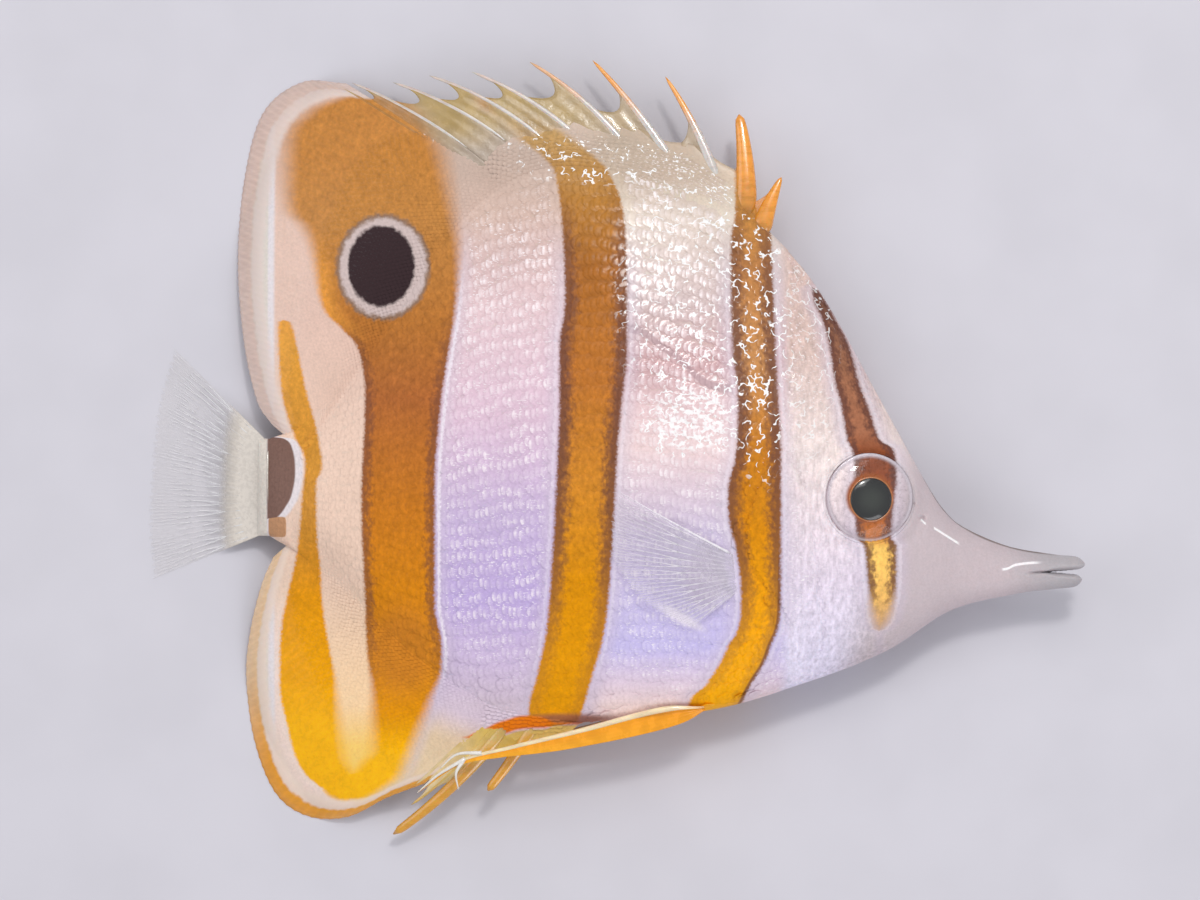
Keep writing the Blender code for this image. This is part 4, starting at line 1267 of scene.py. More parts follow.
@dataclass(frozen=True)
class ScaleFinish(Finish):
    """A scale with the markings: a painted silvery highlight at its crown, painted sparkle on silver parts,
    and a little darker round its edge.
    """

    def surface(self, n: Nodes) -> dict[str, Feed]:
        """What the surface's sockets get."""
        drawn = self.drawn(n)
        base, silver, wet = drawn["Colour"], drawn["Silver"], drawn["Wet"]
        edge = n.blend(silver, n.bright(base, 0.98), n.blend(1.0, base, (0.93, 0.91, 0.95), "MULTIPLY"))
        # Painted highlight: each scale's crown takes a lighter, whiter colour, more so where wet.
        painted_pearl_highlight = n.over(n.bright(base, 1.15), n.line(wet, 0.15, 0.8), 255, 246, 250)
        light = n.blend(silver, n.bright(base, 1.03), painted_pearl_highlight)
        patchy = n.step(n.noise(1, 2, (2.5, 1, 1)), 0.38, 0.6, 0.3, 1)
        shine = n.times(n.step(n.mark("crown"), 0.55, 0.88), n.step(n.mark("tone"), 0, 1, 0.5, 1),
                        n.step(n.noise(0.2, 3, (1, 1.8, 1)), 0.36, 0.6, 0.35, 1), patchy)
        # Painted sparkle: small white glints strewn over the silver parts.
        spark = n.step(n.noise(0.1, 2, (2, 0.8, 1)), 0.58, 0.68)
        painted_sparkle = n.times(spark, patchy, n.step(silver, 0, 0.4, 0, 0.75))
        colour = n.over(n.blend(shine, edge, light), painted_sparkle, 255, 250, 252)
        return {"Metallic": n.times(silver, shine, 0.15), "Roughness": n.grain(n.noise(0.2), 0.36, 0.5),
                "Normal": n.relief(n.noise(0.18, 3), 0.012), **self.film(n, colour, wet)}


@dataclass(frozen=True)
class SoftFinFinish(Finish):
    """A soft fin: the markings at its base, and a pale line and a translucent margin at its edge."""

    margin: Colour = rgb(236, 208, 196)
    low_margin: Colour = rgb(236, 208, 196)
    line: Colour = rgb(242, 222, 214)
    margin_width: float = 0.9
    line_width: float = 0.9
    clear: float = 0.5

    def surface(self, n: Nodes) -> dict[str, Feed]:
        """What the surface's sockets get."""
        rim, start, end = n.mark("rim"), self.margin_width, self.margin_width + self.line_width
        wavy = n.line(n.ripple(0.5), 0.35, rim)
        line = n.times(n.step(wavy, start - 0.12, start + 0.12), n.step(wavy, end + 0.25, end - 0.25), 0.85)
        margin = n.blend(n.step(n.mark("run"), 0.45, 0.75), self.low_margin, self.margin)
        striped = n.bright(margin, n.add(n.step(n.mark("ray"), 0, 1, -0.03, 0.03),
                                         n.grain(n.noise(0.2, 3, (3, 1, 1)), 0.94, 1.05)))
        colour = n.blend(line, self.drawn(n)["Colour"], self.line)
        fine = n.noise(0.14, 3)
        return {"Base Color": n.blend(n.step(wavy, start + 0.12, start - 0.12), colour, striped),
                "Alpha": n.step(rim, 0, end + 0.6, 1 - self.clear, 1), "Roughness": n.grain(fine, 0.34, 0.5),
                "Normal": n.relief(fine, 0.012), "Specular IOR Level": 0.25,
                **self.flesh(0.15, 0.5, (1, 0.6, 0.4)), **self.gloss(0.12, 0.14)}


@dataclass(frozen=True)
class ClearFinFinish(Finish):
    """A glass-clear fin membrane or its pale rays."""

    tint: Colour = rgb(226, 222, 226)
    solid: Pair = (0.5, 0.1)
    full: float = 0.0
    reach: float = 1.0
    patchy: float = 0.0
    faint: float = 1.0

    def surface(self, n: Nodes) -> dict[str, Feed]:
        """What the surface's sockets get."""
        fine, along = n.noise(0.25, 3), n.mark("along")
        solid = n.times(n.step(along, self.full, self.reach, *self.solid),
                        n.step(along, 0.25, 0.5, self.faint, 1),
                        n.step(n.noise(1.4), 0.4, 0.6, 1 - self.patchy, 1))
        return {"Base Color": n.bright(self.tint, n.grain(fine, 0.92, 1.05)),
                "Alpha": n.larger(solid, n.mark("lead")), "Roughness": n.grain(fine, 0.2, 0.36),
                "Normal": n.relief(fine, 0.02), **self.gloss(0.6, 0.08)}


@dataclass(frozen=True)
class SpineFinish(Finish):
    """A hard glossy spine, pale at its foot and coloured towards its tip."""

    foot: Colour = rgb(206, 198, 192)
    tip: Colour = rgb(240, 156, 40)
    root: Colour = rgb(200, 134, 48)
    turn: Pair = (0.5, 0.85)
    rise: Pair = (0.05, 0.24)
    grain: float = 0.1

    def surface(self, n: Nodes) -> dict[str, Feed]:
        """What the surface's sockets get."""
        along, tint = n.line(n.ripple(0.5), 0.3, n.mark("along")), n.mark("tint")
        colour = n.blend(n.times(n.step(along, *self.turn), n.step(tint, 0.2, 0.7)), self.foot, self.tip)
        full = n.blend(n.step(along, 0.1, 0.6), self.root, self.tip)
        fine = n.noise(0.3, 3, (4, 1, 1))
        return {"Base Color": n.bright(n.blend(n.step(tint, 0.85, 1), colour, full),
                                       n.grain(fine, 1 - self.grain, 1 + self.grain)),
                "Alpha": n.step(n.mark("along"), *self.rise), "Roughness": n.grain(fine, 0.22, 0.36),
                "Normal": n.relief(fine, 0.015), **self.flesh(0.2, 0.4), **self.gloss(0.8, 0.12, 1.8)}


@dataclass(frozen=True)
class WebFinish(Finish):
    """The thin web between spines: grey and clear, tinted towards its edge."""

    base: Colour = rgb(192, 174, 156)
    tint: Colour = rgb(202, 166, 60)
    solid: Pair = (0.85, 0.5)
    rise: Pair = (0.45, 1.8)
    relief: float = 0.04

    def surface(self, n: Nodes) -> dict[str, Feed]:
        """What the surface's sockets get."""
        along, tint, cloud = n.mark("along"), n.mark("tint"), n.noise(0.8, 3)
        colour = n.blend(n.times(n.step(along, 0.25, 0.75), tint), self.base, self.tint)
        if self.markings:
            drawn = self.drawn(n)
            colour = n.blend(n.times(drawn["Bar"], 0.75), colour, drawn["Colour"])
            colour = n.over(colour, n.step(tint, 0.08, 0.02), 236, 154, 36)
        solid = n.line(n.times(tint, along), 0.3, n.step(along, 0, 0.8, *self.solid))
        return {"Base Color": n.bright(colour, n.grain(cloud, 0.9, 1.08)),
                "Alpha": n.times(solid, n.step(n.mark("foot"), *self.rise)),
                "Roughness": n.grain(cloud, 0.18, 0.34),
                "Normal": n.relief(n.noise(0.35, 3), self.relief), **self.gloss(0.8, 0.07)}


@dataclass(frozen=True)
class IrisFinish(Finish):
    """The silver iris that the dark stripe crosses."""

    def surface(self, n: Nodes) -> dict[str, Feed]:
        """What the surface's sockets get."""
        radius, fibre = n.mark("radius"), n.noise(0.22, 4)
        colour = n.bright(self.drawn(n)["Colour"], n.grain(fibre, 1, 1.12))
        colour = n.over(colour, n.step(radius, 2.3, 2.6), 206, 196, 204)
        return {"Base Color": n.over(colour, n.step(radius, 1.6, 1.32), 176, 96, 44),
                "Metallic": 0.15, "Roughness": n.grain(fibre, 0.25, 0.4),
                "Normal": n.relief(fibre, 0.03), **self.gloss(0.5, 0.1)}


@dataclass(frozen=True)
class PupilFinish(Finish):
    """The pupil's black lens, faintly grey inside."""

    def surface(self, n: Nodes) -> dict[str, Feed]:
        """What the surface's sockets get."""
        inner = n.step(n.mark("radius"), 0.2, 1.2)
        return {"Base Color": n.blend(inner, rgb(62, 66, 62), rgb(40, 42, 42)),
                "Roughness": n.grain(n.noise(0.2), 0.1, 0.16), **self.gloss(1, 0.03)}


@dataclass(frozen=True)
class CorneaFinish(Finish):
    """The clear dome over the iris: it only shows what it reflects."""

    def surface(self, n: Nodes) -> dict[str, Feed]:
        """What the surface's sockets get."""
        edge = n.make("Fresnel")
        edge.inputs["IOR"].default_value = 1.38
        return {"Base Color": (1.0, 1.0, 1.0), "Metallic": 1.0,
                "Roughness": n.grain(n.noise(0.5), 0.02, 0.06),
                "Alpha": n.step(edge.outputs[0], 0, 1, 0.02, 0.6)}


@dataclass(frozen=True)
class FloorFinish(Finish):
    """A plain pale floor."""

    def surface(self, n: Nodes) -> dict[str, Feed]:
        """What the surface's sockets get."""
        return {"Base Color": n.bright(rgb(210, 208, 216), n.grain(n.noise(9, 3), 0.97, 1.02)),
                "Roughness": 0.6}


@dataclass
class Skin:
    """One skin over head, body, tail stalk and jaws."""

    form: FishForm
    around: int = 110
    rim_spacing: float = 0.75
    runs: Sequence[tuple[float, float, float]] = (
        (28.25, 27.6, 0.035), (27.6, 19, 0.09), (19, 11.5, 0.085), (11.5, 7, 0.1), (7, -19, 0.24),
        (-19, -21.9, 0.1))
    thinnest: float = 1e-6
    rim_radius: float = 2.73
    rim_tube: float = 0.08
    rim_sunk: float = 0.02
    rim_spot: float = 0.97
    rim_patch: float = 0.02

    def stations(self) -> Array:
        """Places of the sections along the fish."""
        parts = [np.linspace(a, b, round((a - b) / step), endpoint=False) for a, b, step in self.runs]
        return np.concatenate([*parts, [self.runs[-1][1]]])

    def shape(self) -> Shape:
        """The skin and the rims of its two eyes."""
        form, xs = self.form, self.stations()
        even = np.linspace(1, -1, self.around)
        x = np.repeat(xs[:, None], self.around, axis=1)
        share = np.broadcast_to(even + self.rim_spacing * (np.sin(0.5 * math.pi * even) - even), x.shape)
        flat_y = form.belly(x) + 0.5 * (share + 1) * (form.back(x) - form.belly(x))
        y, left_over = form.jaws(x, flat_y)
        closed = form.half(x, share) * left_over < self.thinnest
        centre, at = form.middle(x, flat_y), np.arange(x.size).reshape(x.shape)
        u = np.repeat(np.linspace(0, 1, len(xs))[:, None], self.around, axis=1)
        points, faces, corners = [], [], []
        for side in Side:
            z = centre + (form.surface(side, x, flat_y, socket=True) - centre) * left_over
            points.append(np.stack([x, y, np.where(closed, form.middle(x, y), z)], axis=-1).reshape(-1, 3))
            own = at if side is Side.RIGHT else np.where(closed, at, at + x.size)
            grid = quads(at)[:, ::side.value]
            kept = ~closed.ravel()[grid].all(axis=1)
            faces.append(quads(own)[:, ::side.value][kept])
            corners.append(np.stack([u, self.spot_v(side, share)], axis=-1).reshape(-1, 2)[grid[kept]])
        rims = [self.eye_rim(side) for side in Side]
        return Shape.joined([Shape(np.vstack(points), faces, corners), *rims])

    @staticmethod
    def spot_v(side: Side, share: Array) -> Array:
        """Where a share of the height lies on the bake map."""
        v = 0.25 * (1 - share)
        return v if side is Side.RIGHT else 1 - v

    def eye_rim(self, side: Side, around: int = 96, sides: int = 10) -> Shape:
        """The rim of skin round an eye.

        Args:
            side: which eye.
            around: how many steps it has round the eye.
            sides: how many it has round itself.

        Returns:
            The rim.
        """
        form, bend = self.form, turns(sides)
        ring = np.stack([np.cos(turns(around)), np.sin(turns(around))], axis=-1)
        line = form.eye_centre + self.rim_radius * ring
        flat = form.eye_centre + ring[:, None] * (self.rim_radius + self.rim_tube * np.cos(bend))[:, None]
        base = form.surface(side, line[:, 0], line[:, 1]) - side.value * self.rim_sunk
        z = np.maximum(base[:, None] + self.rim_tube * np.sin(bend), form.floor_gap)
        faces = quads(np.arange(around * sides).reshape(around, sides), True, True)
        spot = np.stack(np.meshgrid(np.arange(sides) / sides, np.arange(around) / around), axis=-1)
        spot = self.rim_patch * spot.reshape(-1, 2) + (0.0, 0.0 if side is Side.RIGHT else self.rim_spot)
        return Shape(xyz(flat, z).reshape(-1, 3), [faces], [spot[faces]]).outwards()


@dataclass
class Coat:
    """Scales as small closed plates that lie over one another towards the tail."""

    form: FishForm
    skin: Skin
    seed: int = 7
    patch: float = 0.003
    sink_depth: float = 0.1
    lowest: float = 0.002
    plate_middle: float = 0.42
    thickness: float = 0.55
    overlap: float = 0.12
    unevenness: float = 0.02
    column_step: float = 0.345
    most_rows: int = 60
    probe_reach: float = 19.0
    probes: int = 400
    tallest: float = 34.4
    steepest: float = 2.5
    clear_edge: float = 0.12
    base_spacing: Pair = (0.36, 0.72)
    base_scatter: float = 0.12
    base_shrink: float = 0.35
    base_sunk: float = 0.6
    base_lift: float = 0.025
    body_front: float = 10.3
    head_front: float = 18.3
    brow_y: float = 3.0
    crisp: float = math.radians(35)

    def plate(self, around: int, fine: bool, crown: float = 0.66) -> tuple[Array, list[Array], Array]:
        """One scale of length and width 1.

        Args:
            around: how many points its outline has.
            fine: whether a ring of points rounds its top.
            crown: how far along it its highest point is.

        Returns:
            Its points as length, width and height, its faces, and each point's crown mark.
        """
        turn = turns(around, 0.5)
        outline = np.column_stack([self.plate_middle + 0.6 * np.cos(turn), 0.5 * np.sin(turn)])
        inner = np.column_stack([crown + 0.1 * np.cos(turn), 0.27 * np.sin(turn)])
        rings = [(np.array([[crown, 0.0]]), 0.03, 1.0), *([(inner, 0.026, 0.75)] if fine else []),
                 (outline, -0.04, 0.0), (outline, -0.07, 0.0)]
        points = np.vstack([xyz(ring, np.full(len(ring), height)) for ring, height, _ in rings])
        crowns = np.concatenate([np.full(len(ring), mark) for ring, _, mark in rings])
        ring = np.arange(around)
        after = np.roll(ring, -1)
        faces = [np.column_stack([0 * ring, 1 + ring, 1 + after])]
        starts = range(1, len(points), around)
        for near, far in zip(starts, starts[1:]):
            faces += [np.column_stack([near + ring, far + ring, far + after]),
                      np.column_stack([near + ring, far + after, near + after])]
        faces.append(starts[-1] + np.array([[0, k + 1, k] for k in range(1, around - 1)]))
        return points, faces, crowns

    def lay(self, lie: tuple[Array, Array, Array], length: Array, width: Array, lift: Array | float,
            flat: Array, plate: tuple[Array, list[Array], Array], sunk: Array) -> Shape:
        """Sets one scale at each root.

        Args:
            lie: the scales' roots, the directions that they point in and those out of the skin.
            length: the scales' lengths.
            width: the scales' widths.
            lift: how far each one's rear end stands up, as a share of its length.
            flat: each root's place on the bake map.
            plate: the form of one scale.
            sunk: how far each one is sunk in the skin, from 0 to 1.

        Returns:
            All the scales, with the marks crown and tone.
        """
        (roots, back, normal), (form, faces, crown) = lie, plate
        draw = np.random.default_rng(self.seed)
        count, size = len(roots), len(form)
        back = unit(back - normal * np.einsum("ij,ij->i", back, normal)[:, None])
        across = np.cross(normal, back)
        tip = draw.normal(0, self.unevenness, (count, 2))
        normal = unit(normal + across * tip[:, :1] + back * tip[:, 1:])
        a, b, c = form.T
        length, width = length[:, None], width[:, None]
        rise = c * length * self.thickness + np.reshape(lift, (-1, 1)) * a * length
        rise -= self.sink_depth * sunk[:, None]
        points = (roots[:, None] + back[:, None] * ((a - self.overlap) * length)[..., None]
                  + across[:, None] * (b * width)[..., None] + normal[:, None] * rise[..., None])
        points[..., 2] = np.maximum(points[..., 2], self.lowest)
        starts = (np.arange(count) * size)[:, None, None]
        spread = self.patch * (form[:, :2] - (self.plate_middle, 0.0))
        corners = [(flat[:, None, None] + spread[part]).reshape(-1, part.shape[1], 2) for part in faces]
        tone = np.repeat(draw.uniform(0, 1, count), size)
        return Shape(points.reshape(-1, 3), [(starts + part).reshape(-1, part.shape[1]) for part in faces],
                     corners, {"crown": np.tile(crown, count), "tone": tone})

    def lie(self, side: Side, x: Array, y: Array) -> tuple[Array, Array, Array]:
        """How scales lie on the body's skin.

        Args:
            side: which side of the fish.
            x: the roots' places along the fish.
            y: their heights above its axis.

        Returns:
            The roots, the directions to the tail and the normals out of the skin.
        """
        run_x = slope(lambda v: self.form.surface(side, v, y), x, 0.04).clip(-self.steepest, self.steepest)
        run_y = slope(lambda v: self.form.surface(side, x, v), y, 0.04).clip(-self.steepest, self.steepest)
        normal = unit(np.column_stack([-run_x, -run_y, np.ones_like(x)]) * side.value)
        return (np.column_stack([x, y, self.form.surface(side, x, y)]),
                np.column_stack([-np.ones_like(x), 0 * x, -run_x]), normal)

    def rows(self, first: float, last: float, spacing: Curve, row: float, axis: Curve, crowd: float,
             stagger: float) -> Array:
        """Roots of scales in rows that follow the body.

        Args:
            first: the front end of the rows.
            last: their rear end.
            spacing: how far scales stand apart along a row at x, as a share of the largest.
            row: the distance between rows at the fish's greatest height.
            axis: the height of the row that the others follow.
            crowd: how strongly the rows draw together where the body is lower.
            stagger: how far every other column is moved, as a share of the rows' distance.

        Returns:
            x, y and the size share of each scale, as three rows.
        """
        form, xs, found = self.form, [first], []
        while xs[-1] > last:
            xs.append(xs[-1] - self.column_step * spacing(xs[-1]))
        for number, x in enumerate(xs):
            narrow = ((form.back(x) - form.belly(x)) / self.tallest) ** crowd * spacing(x) ** 0.5
            ys = axis(x) + np.linspace(-self.probe_reach, self.probe_reach, self.probes)
            z = form.middle(x, ys) + form.half(np.full_like(ys, x), form.share(x, ys))
            along = lengths(np.column_stack([ys, z]))
            along -= np.interp(axis(x), ys, along)
            steps = np.arange(-self.most_rows, self.most_rows + 1) + stagger * (number % 2)
            at = np.interp(steps * 2 * row * narrow, along, ys, left=np.inf, right=np.inf)
            at = at[(at < form.back(x) - self.clear_edge) & (at > form.belly(x) + self.clear_edge)]
            found.append(np.column_stack([np.full(len(at), x), at, np.full(len(at), narrow)]))
        return np.vstack(found).T

    def spot(self, side: Side, x: Array, y: Array) -> Array:
        """Where a root lies on the skin's own unwrap."""
        xs = self.skin.stations()
        u = np.interp(-x, -xs, np.linspace(0, 1, len(xs)))
        return np.column_stack([u, self.skin.spot_v(side, self.form.share(x, y))])

    def body(self, side: Side) -> Shape:
        """The large scales of the body.

        Args:
            side: which side of the fish.

        Returns:
            The scales.
        """
        form = self.form
        spacing = graph([(10.5, 0.78), (7.5, 0.95), (4, 1), (-8, 1), (-12, 0.86), (-17, 0.66), (-21.5, 0.55)])
        axis = graph([(12, -1.9), (6, 0.6), (0, 1.5), (-6, 0.9), (-13, -0.9), (-21.5, -2.4)])
        x, y, size = self.rows(self.body_front, -21.3, spacing, 0.45, axis, 0.45, 0.1)
        draw = np.random.default_rng(self.seed + 1)
        y = y + 0.1 * np.sin(1.3 * x + 0.8 * y) + draw.normal(0, 0.06, len(y))
        x = x + draw.normal(0, 0.05, len(x))
        share = form.share(x, y)
        finned, inland = form.finned(x, share), form.from_edge(x, share)
        kept = ((x < form.gill_x(y) - 0.03) | (y > self.brow_y)) & (inland > 0.6 * finned)
        x, y, size, finned, inland = (values[kept] for values in (x, y, size, finned, inland))
        size = size * draw.uniform(0.9, 1.08, len(x))
        lift = 0.04 + 0.01 * draw.uniform(0, 1, len(x))
        front = np.where(y > self.brow_y, self.body_front, form.gill_x(y))
        sunk = np.maximum(1 - ramp(front - x, 0.1, 0.9), finned * (1 - ramp(inland, 0.5, 1.5)))
        return self.lay(self.lie(side, x, y), 0.98 * size * spacing(x) ** 0.5, size, lift,
                        self.spot(side, x, y), self.plate(8, True, 0.8), sunk)

    def head(self, side: Side) -> Shape:
        """The small scales of the cheek, the gill cover and the brow.

        Args:
            side: which side of the fish.

        Returns:
            The scales.
        """
        form, brow, brow_x = self.form, self.brow_y + 0.2, self.body_front - 0.1
        spacing = graph([(18.5, 0.36), (14, 0.44), (8, 0.52)])
        axis = graph([(19, -5.6), (12, -1.9), (7, 0.4)])
        x, y, size = self.rows(self.head_front, 7.6, spacing, 0.42, axis, 0.3, 0.5)
        draw = np.random.default_rng(self.seed + 2)
        x = x + draw.normal(0, 0.03, len(x))
        y = y + draw.normal(0, 0.03, len(y))
        away, edge = form.eye_distance(x, y), self.head_front - 1.6 * ramp(-y, 4, 7)
        kept = (away > 3.02) & (x > form.gill_x(y) + 0.05) & (x < edge) & ((y < brow) | (x > brow_x))
        for spot_x, spot_y in form.nostrils:
            kept &= np.hypot(x - spot_x, y - spot_y) > 0.45
        x, y, size, away, edge = (values[kept] for values in (x, y, size, away, edge))
        ahead = x - np.where(y < brow, form.gill_x(y), brow_x)
        shown = ramp(ahead, 0, 0.4) * ramp(away, 3, 3.5) * ramp(edge - x, 0, 1.5)
        return self.lay(self.lie(side, x, y), 0.62 * size, 0.56 * size, 0.03, self.spot(side, x, y),
                        self.plate(6, False), 0.8 * (1 - shown))

    def fin_base(self, side: Side, grid: Array, down: Array, reach: float, size: float, rim: Array,
                 bare: float) -> Shape:
        """Small scales that run from the body out over a fin.

        Args:
            side: which face of the fin.
            grid: points of that face, from the fin's front to its rear and from root to edge.
            down: the share of the way to the edge at each column of points.
            reach: the share that the scales reach.
            size: their length.
            rim: each point's distance from the fin's free edge.
            bare: how close to that edge scales may stand.

        Returns:
            The scales.
        """
        draw = np.random.default_rng(self.seed + 3)
        rows, columns = grid.shape[:2]
        knots = np.arange(rows)
        length = np.linalg.norm(np.diff(grid[:, :, :2], axis=1), axis=2).sum(axis=1).mean()
        apart, beside = (spacing * size for spacing in self.base_spacing)
        roots, spots, sizes, sunk = [], [], [], []
        for number, share in enumerate(np.linspace(0, reach, max(int(length * reach / apart), 2))):
            column = np.interp(share, down, np.arange(columns))
            low = int(min(column, columns - 2))
            line = grid[:, low] + (grid[:, low + 1] - grid[:, low]) * (column - low)
            count = int(lengths(line)[-1] / beside)
            places = (np.arange(count) + 0.25 + 0.5 * (number % 2)) / count * (rows - 1)
            places = np.clip(places + draw.normal(0, self.base_scatter, count), 0, rows - 1)
            inside = np.interp(places, knots, rim[:, low]) - bare
            keep = (draw.uniform(0, 1, count) > ramp(share / reach, 0.8, 1.1)) & (inside > 0)
            places, inside = places[keep], inside[keep]
            roots.append(read(line, places, knots))
            spots.append(np.column_stack([places / (rows - 1), np.full(len(places), share * FACE_SPAN)]))
            sizes.append(np.full(len(places), size * (1 - self.base_shrink * share / reach)))
            sunk.append(self.base_sunk * (1 - ramp(inside, 0, 1) * ramp(reach - share, 0, 0.25)))
        roots, sizes = np.vstack(roots), np.concatenate(sizes)
        x, y = roots[:, 0], roots[:, 1]
        spots = np.vstack(spots) + (0.0, 0.0 if side is Side.RIGHT else OTHER_FACE)
        flat_x = slope(lambda v: self.form.middle(v, y), x, 0.1)
        flat_y = slope(lambda v: self.form.middle(x, v), y, 0.1)
        normal = unit(np.column_stack([-flat_x, -flat_y, np.ones_like(x)])) * side.value
        back = np.column_stack([-np.ones_like(x), 0.35 * np.sign(y), 0 * x])
        return self.lay((roots, back, normal), sizes, 0.85 * sizes, self.base_lift, spots,
                        self.plate(6, False), np.concatenate(sunk))


@dataclass
class SoftFin:
    """A fin of soft rays that stands along the back or the belly."""

    form: FishForm
    name: str
    on_back: bool
    reach: Pair
    outline: Pairs
    rays: int
    root_depth: float = 1.3
    root_half: float = 0.7
    fin_half: float = 0.13
    edge_half: float = 0.045
    front_half: float = 0.03
    tip_half: float = 0.015
    ridge: float = 0.02
    scallop: float = 0.04
    rows: int = 60
    steps: int = 8

    def grid(self) -> tuple[Array, Array, Array]:
        """Points of the fin in x and y, the share down each ray, and the strength of a ray there."""
        across = self.rays * self.steps + 1
        line, out = (self.form.back, 1) if self.on_back else (self.form.belly, -1)
        xs = self.form.spaced_along(line, *self.reach, across)
        root = self.form.off_body(line, xs, -self.root_depth * out)
        edge = evenly(self.outline, across)
        down = np.linspace(0, 1, self.rows) ** 0.9
        turn = 2 * math.pi * np.linspace(0, self.rays, across)[:, None]
        forked = ramp(down, 0.45, 0.62)
        ray = (0.5 + 0.5 * np.cos(turn)) ** 2 * (1 - forked) + (0.5 + 0.5 * np.cos(2 * turn)) ** 2 * forked
        edge = edge + unit(root - edge) * self.scallop * (1 - ray[:, -1:])
        return between(root, edge, down), down, ray

    def halves(self, down: Array, ray: Array) -> Array:
        """Half the fin's thickness at each point.

        Args:
            down: the share down each ray.
            ray: how strong a ray is at each point.

        Returns:
            The half thicknesses.
        """
        flat = self.edge_half + self.fin_half * (1 - down) ** 1.4 + self.root_half * (1 - down) ** 5.5
        half = flat + self.ridge * ray * (ramp(down, 0.1, 0.4) * ramp(1 - down, 0, 0.25))
        front = ramp(np.linspace(0, self.rays, len(ray)), -0.5, 2)[:, None]
        half = self.front_half + (half - self.front_half) * (front + (1 - front) * (1 - down) ** 5)
        half[:, -1] = self.tip_half
        return half

    def faces_of(self, side: Side) -> tuple[Array, Array, Array]:
        """Points of one face of the fin, the share down each ray and the distance from the edge."""
        points, down, ray = self.grid()
        half = self.halves(down, ray)
        return xyz(points, self.form.rest(points, half) + side.value * half), down, self.rim_distance(points)

    def rim_distance(self, points: Array) -> Array:
        """Distance of each point from the fin's free edge."""
        length = np.linalg.norm(np.diff(points, axis=1), axis=2)
        along = np.pad(length[:, ::-1].cumsum(axis=1)[:, ::-1], ((0, 0), (0, 1)))
        return np.minimum(along, 1.5 * np.linalg.norm(points[-1:, :] - points, axis=2) + 1.9)

    def shape(self) -> Shape:
        """The fin's membrane with its rays."""
        points, down, ray = self.grid()
        half = self.halves(down, ray)
        run = np.repeat(np.linspace(0, 1, len(points))[:, None], len(down), axis=1)
        return thin_sheet(xyz(points, self.form.rest(points, half)), half,
                          {"rim": self.rim_distance(points), "ray": ray, "run": run})


@dataclass
class FanFin:
    """A clear fin whose forked rays fan out from a short root: the tail fin or a pectoral fin."""

    form: FishForm
    root: Array
    outline: Array
    rays: int
    height: Callable[[Array, Array], Array]
    ray_radius: Pair = (0.06, 0.02)
    membrane: float = 0.03
    root_half: float = 0.0
    forks: Pair = (0.36, 0.66)
    bow: float = 0.0
    lead: float = 0.0
    lead_lift: float = 0.03
    notch: float = 0.05
    end_spread: float = 0.05
    fork_shrink: float = 0.8
    fork_steps: int = 9
    ray_steps: int = 5
    rows: int = 36
    seed: int = 3

    @property
    def parts(self) -> int:
        """How many parts the rays have: each is one, then two, then four."""
        return self.rays * 7

    def point(self, across: Array, down: Array) -> Array:
        """Places on the fin for shares across it and down it."""
        root, edge = (read(line, across, np.linspace(0, 1, len(line))) for line in (self.root, self.outline))
        down = np.asarray(down)[..., None]
        side = np.stack([-(edge - root)[..., 1], (edge - root)[..., 0]], axis=-1)
        return root * (1 - down) + edge * down + self.bow * side * down * (1 - down)

    def membrane_shape(self) -> Shape:
        """The thin clear membrane."""
        across = np.linspace(0, 1, self.rays * self.ray_steps + 1)
        across, down = np.meshgrid(across, np.linspace(0, 1, self.rows), indexing="ij")
        notch = 0.5 - 0.5 * np.cos(4 * math.pi * across * self.rays)
        points = self.point(across, down * (1 - self.notch * notch))
        half = self.membrane * (1 - 0.5 * down)
        half = half + self.root_half * (1 - down) ** 14 * np.sqrt(np.sin(math.pi * across).clip(0.04))
        z = np.maximum(self.height(points, down), half + self.form.floor_gap)
        return thin_sheet(xyz(points, z), half, {"along": down})

    def ray_shapes(self) -> Shape:
        """The rays, each forked twice, as fine tapered bars, and the strong leading ray."""
        draw = np.random.default_rng(self.seed)
        shapes, levels = [], [0.0, *self.forks, 1.0]
        for ray in range(self.rays):
            for level, branch in ((level, branch) for level in range(3) for branch in range(2**level)):
                start, end = self.across(ray, level - 1, branch // 2), self.across(ray, level, branch)
                low, high = levels[level:level + 2]
                short = self.end_spread * draw.uniform() if level == 2 else 0
                down = np.linspace(low, high - short, self.fork_steps)
                across = start + (end - start) * ramp((down - low) / (high - low), -0.2, 0.7)
                thick = np.interp(down, [0, 1], self.ray_radius) * self.fork_shrink**level
                shapes.append(self.bar(across, down, 0.0, thick, 6, 0 * down, len(shapes) / self.parts))
        if self.lead:
            down = np.linspace(0.02, 0.98, 30)
            dashes = 0.2 + 0.75 * (np.abs(np.sin(7 * down)) > 0.2)
            shapes.append(self.bar(0 * down, down, self.lead_lift, self.lead * (1.1 - down), 8, dashes, 0.0))
        return Shape.joined(shapes)

    def bar(self, across: Array, down: Array, lift: float, radius: Array, sides: int, lead: Array,
            spot: float) -> Shape:
        """One ray, or a part of one.

        Args:
            across: its places across the fin.
            down: its places down the fin.
            lift: how far it stands above the fin.
            radius: its radius at each place.
            sides: how many sides it has.
            lead: how solid it is at least.
            spot: where it starts on the bake map.

        Returns:
            The bar.
        """
        flat = self.point(across, down)
        return tube(xyz(flat, self.height(flat, down) + lift), radius, sides, {"along": down, "lead": lead},
                    (0.0, spot, 1.0, 0.8 / self.parts))

    def across(self, ray: int, level: int, branch: int) -> float:
        """How far across the fin a ray's branch ends. A level below 1 is the ray's own middle."""
        off = (branch + 0.5) / 2**level - 0.5 if level > 0 else 0.0
        return (ray + 0.5) / self.rays + off / self.rays


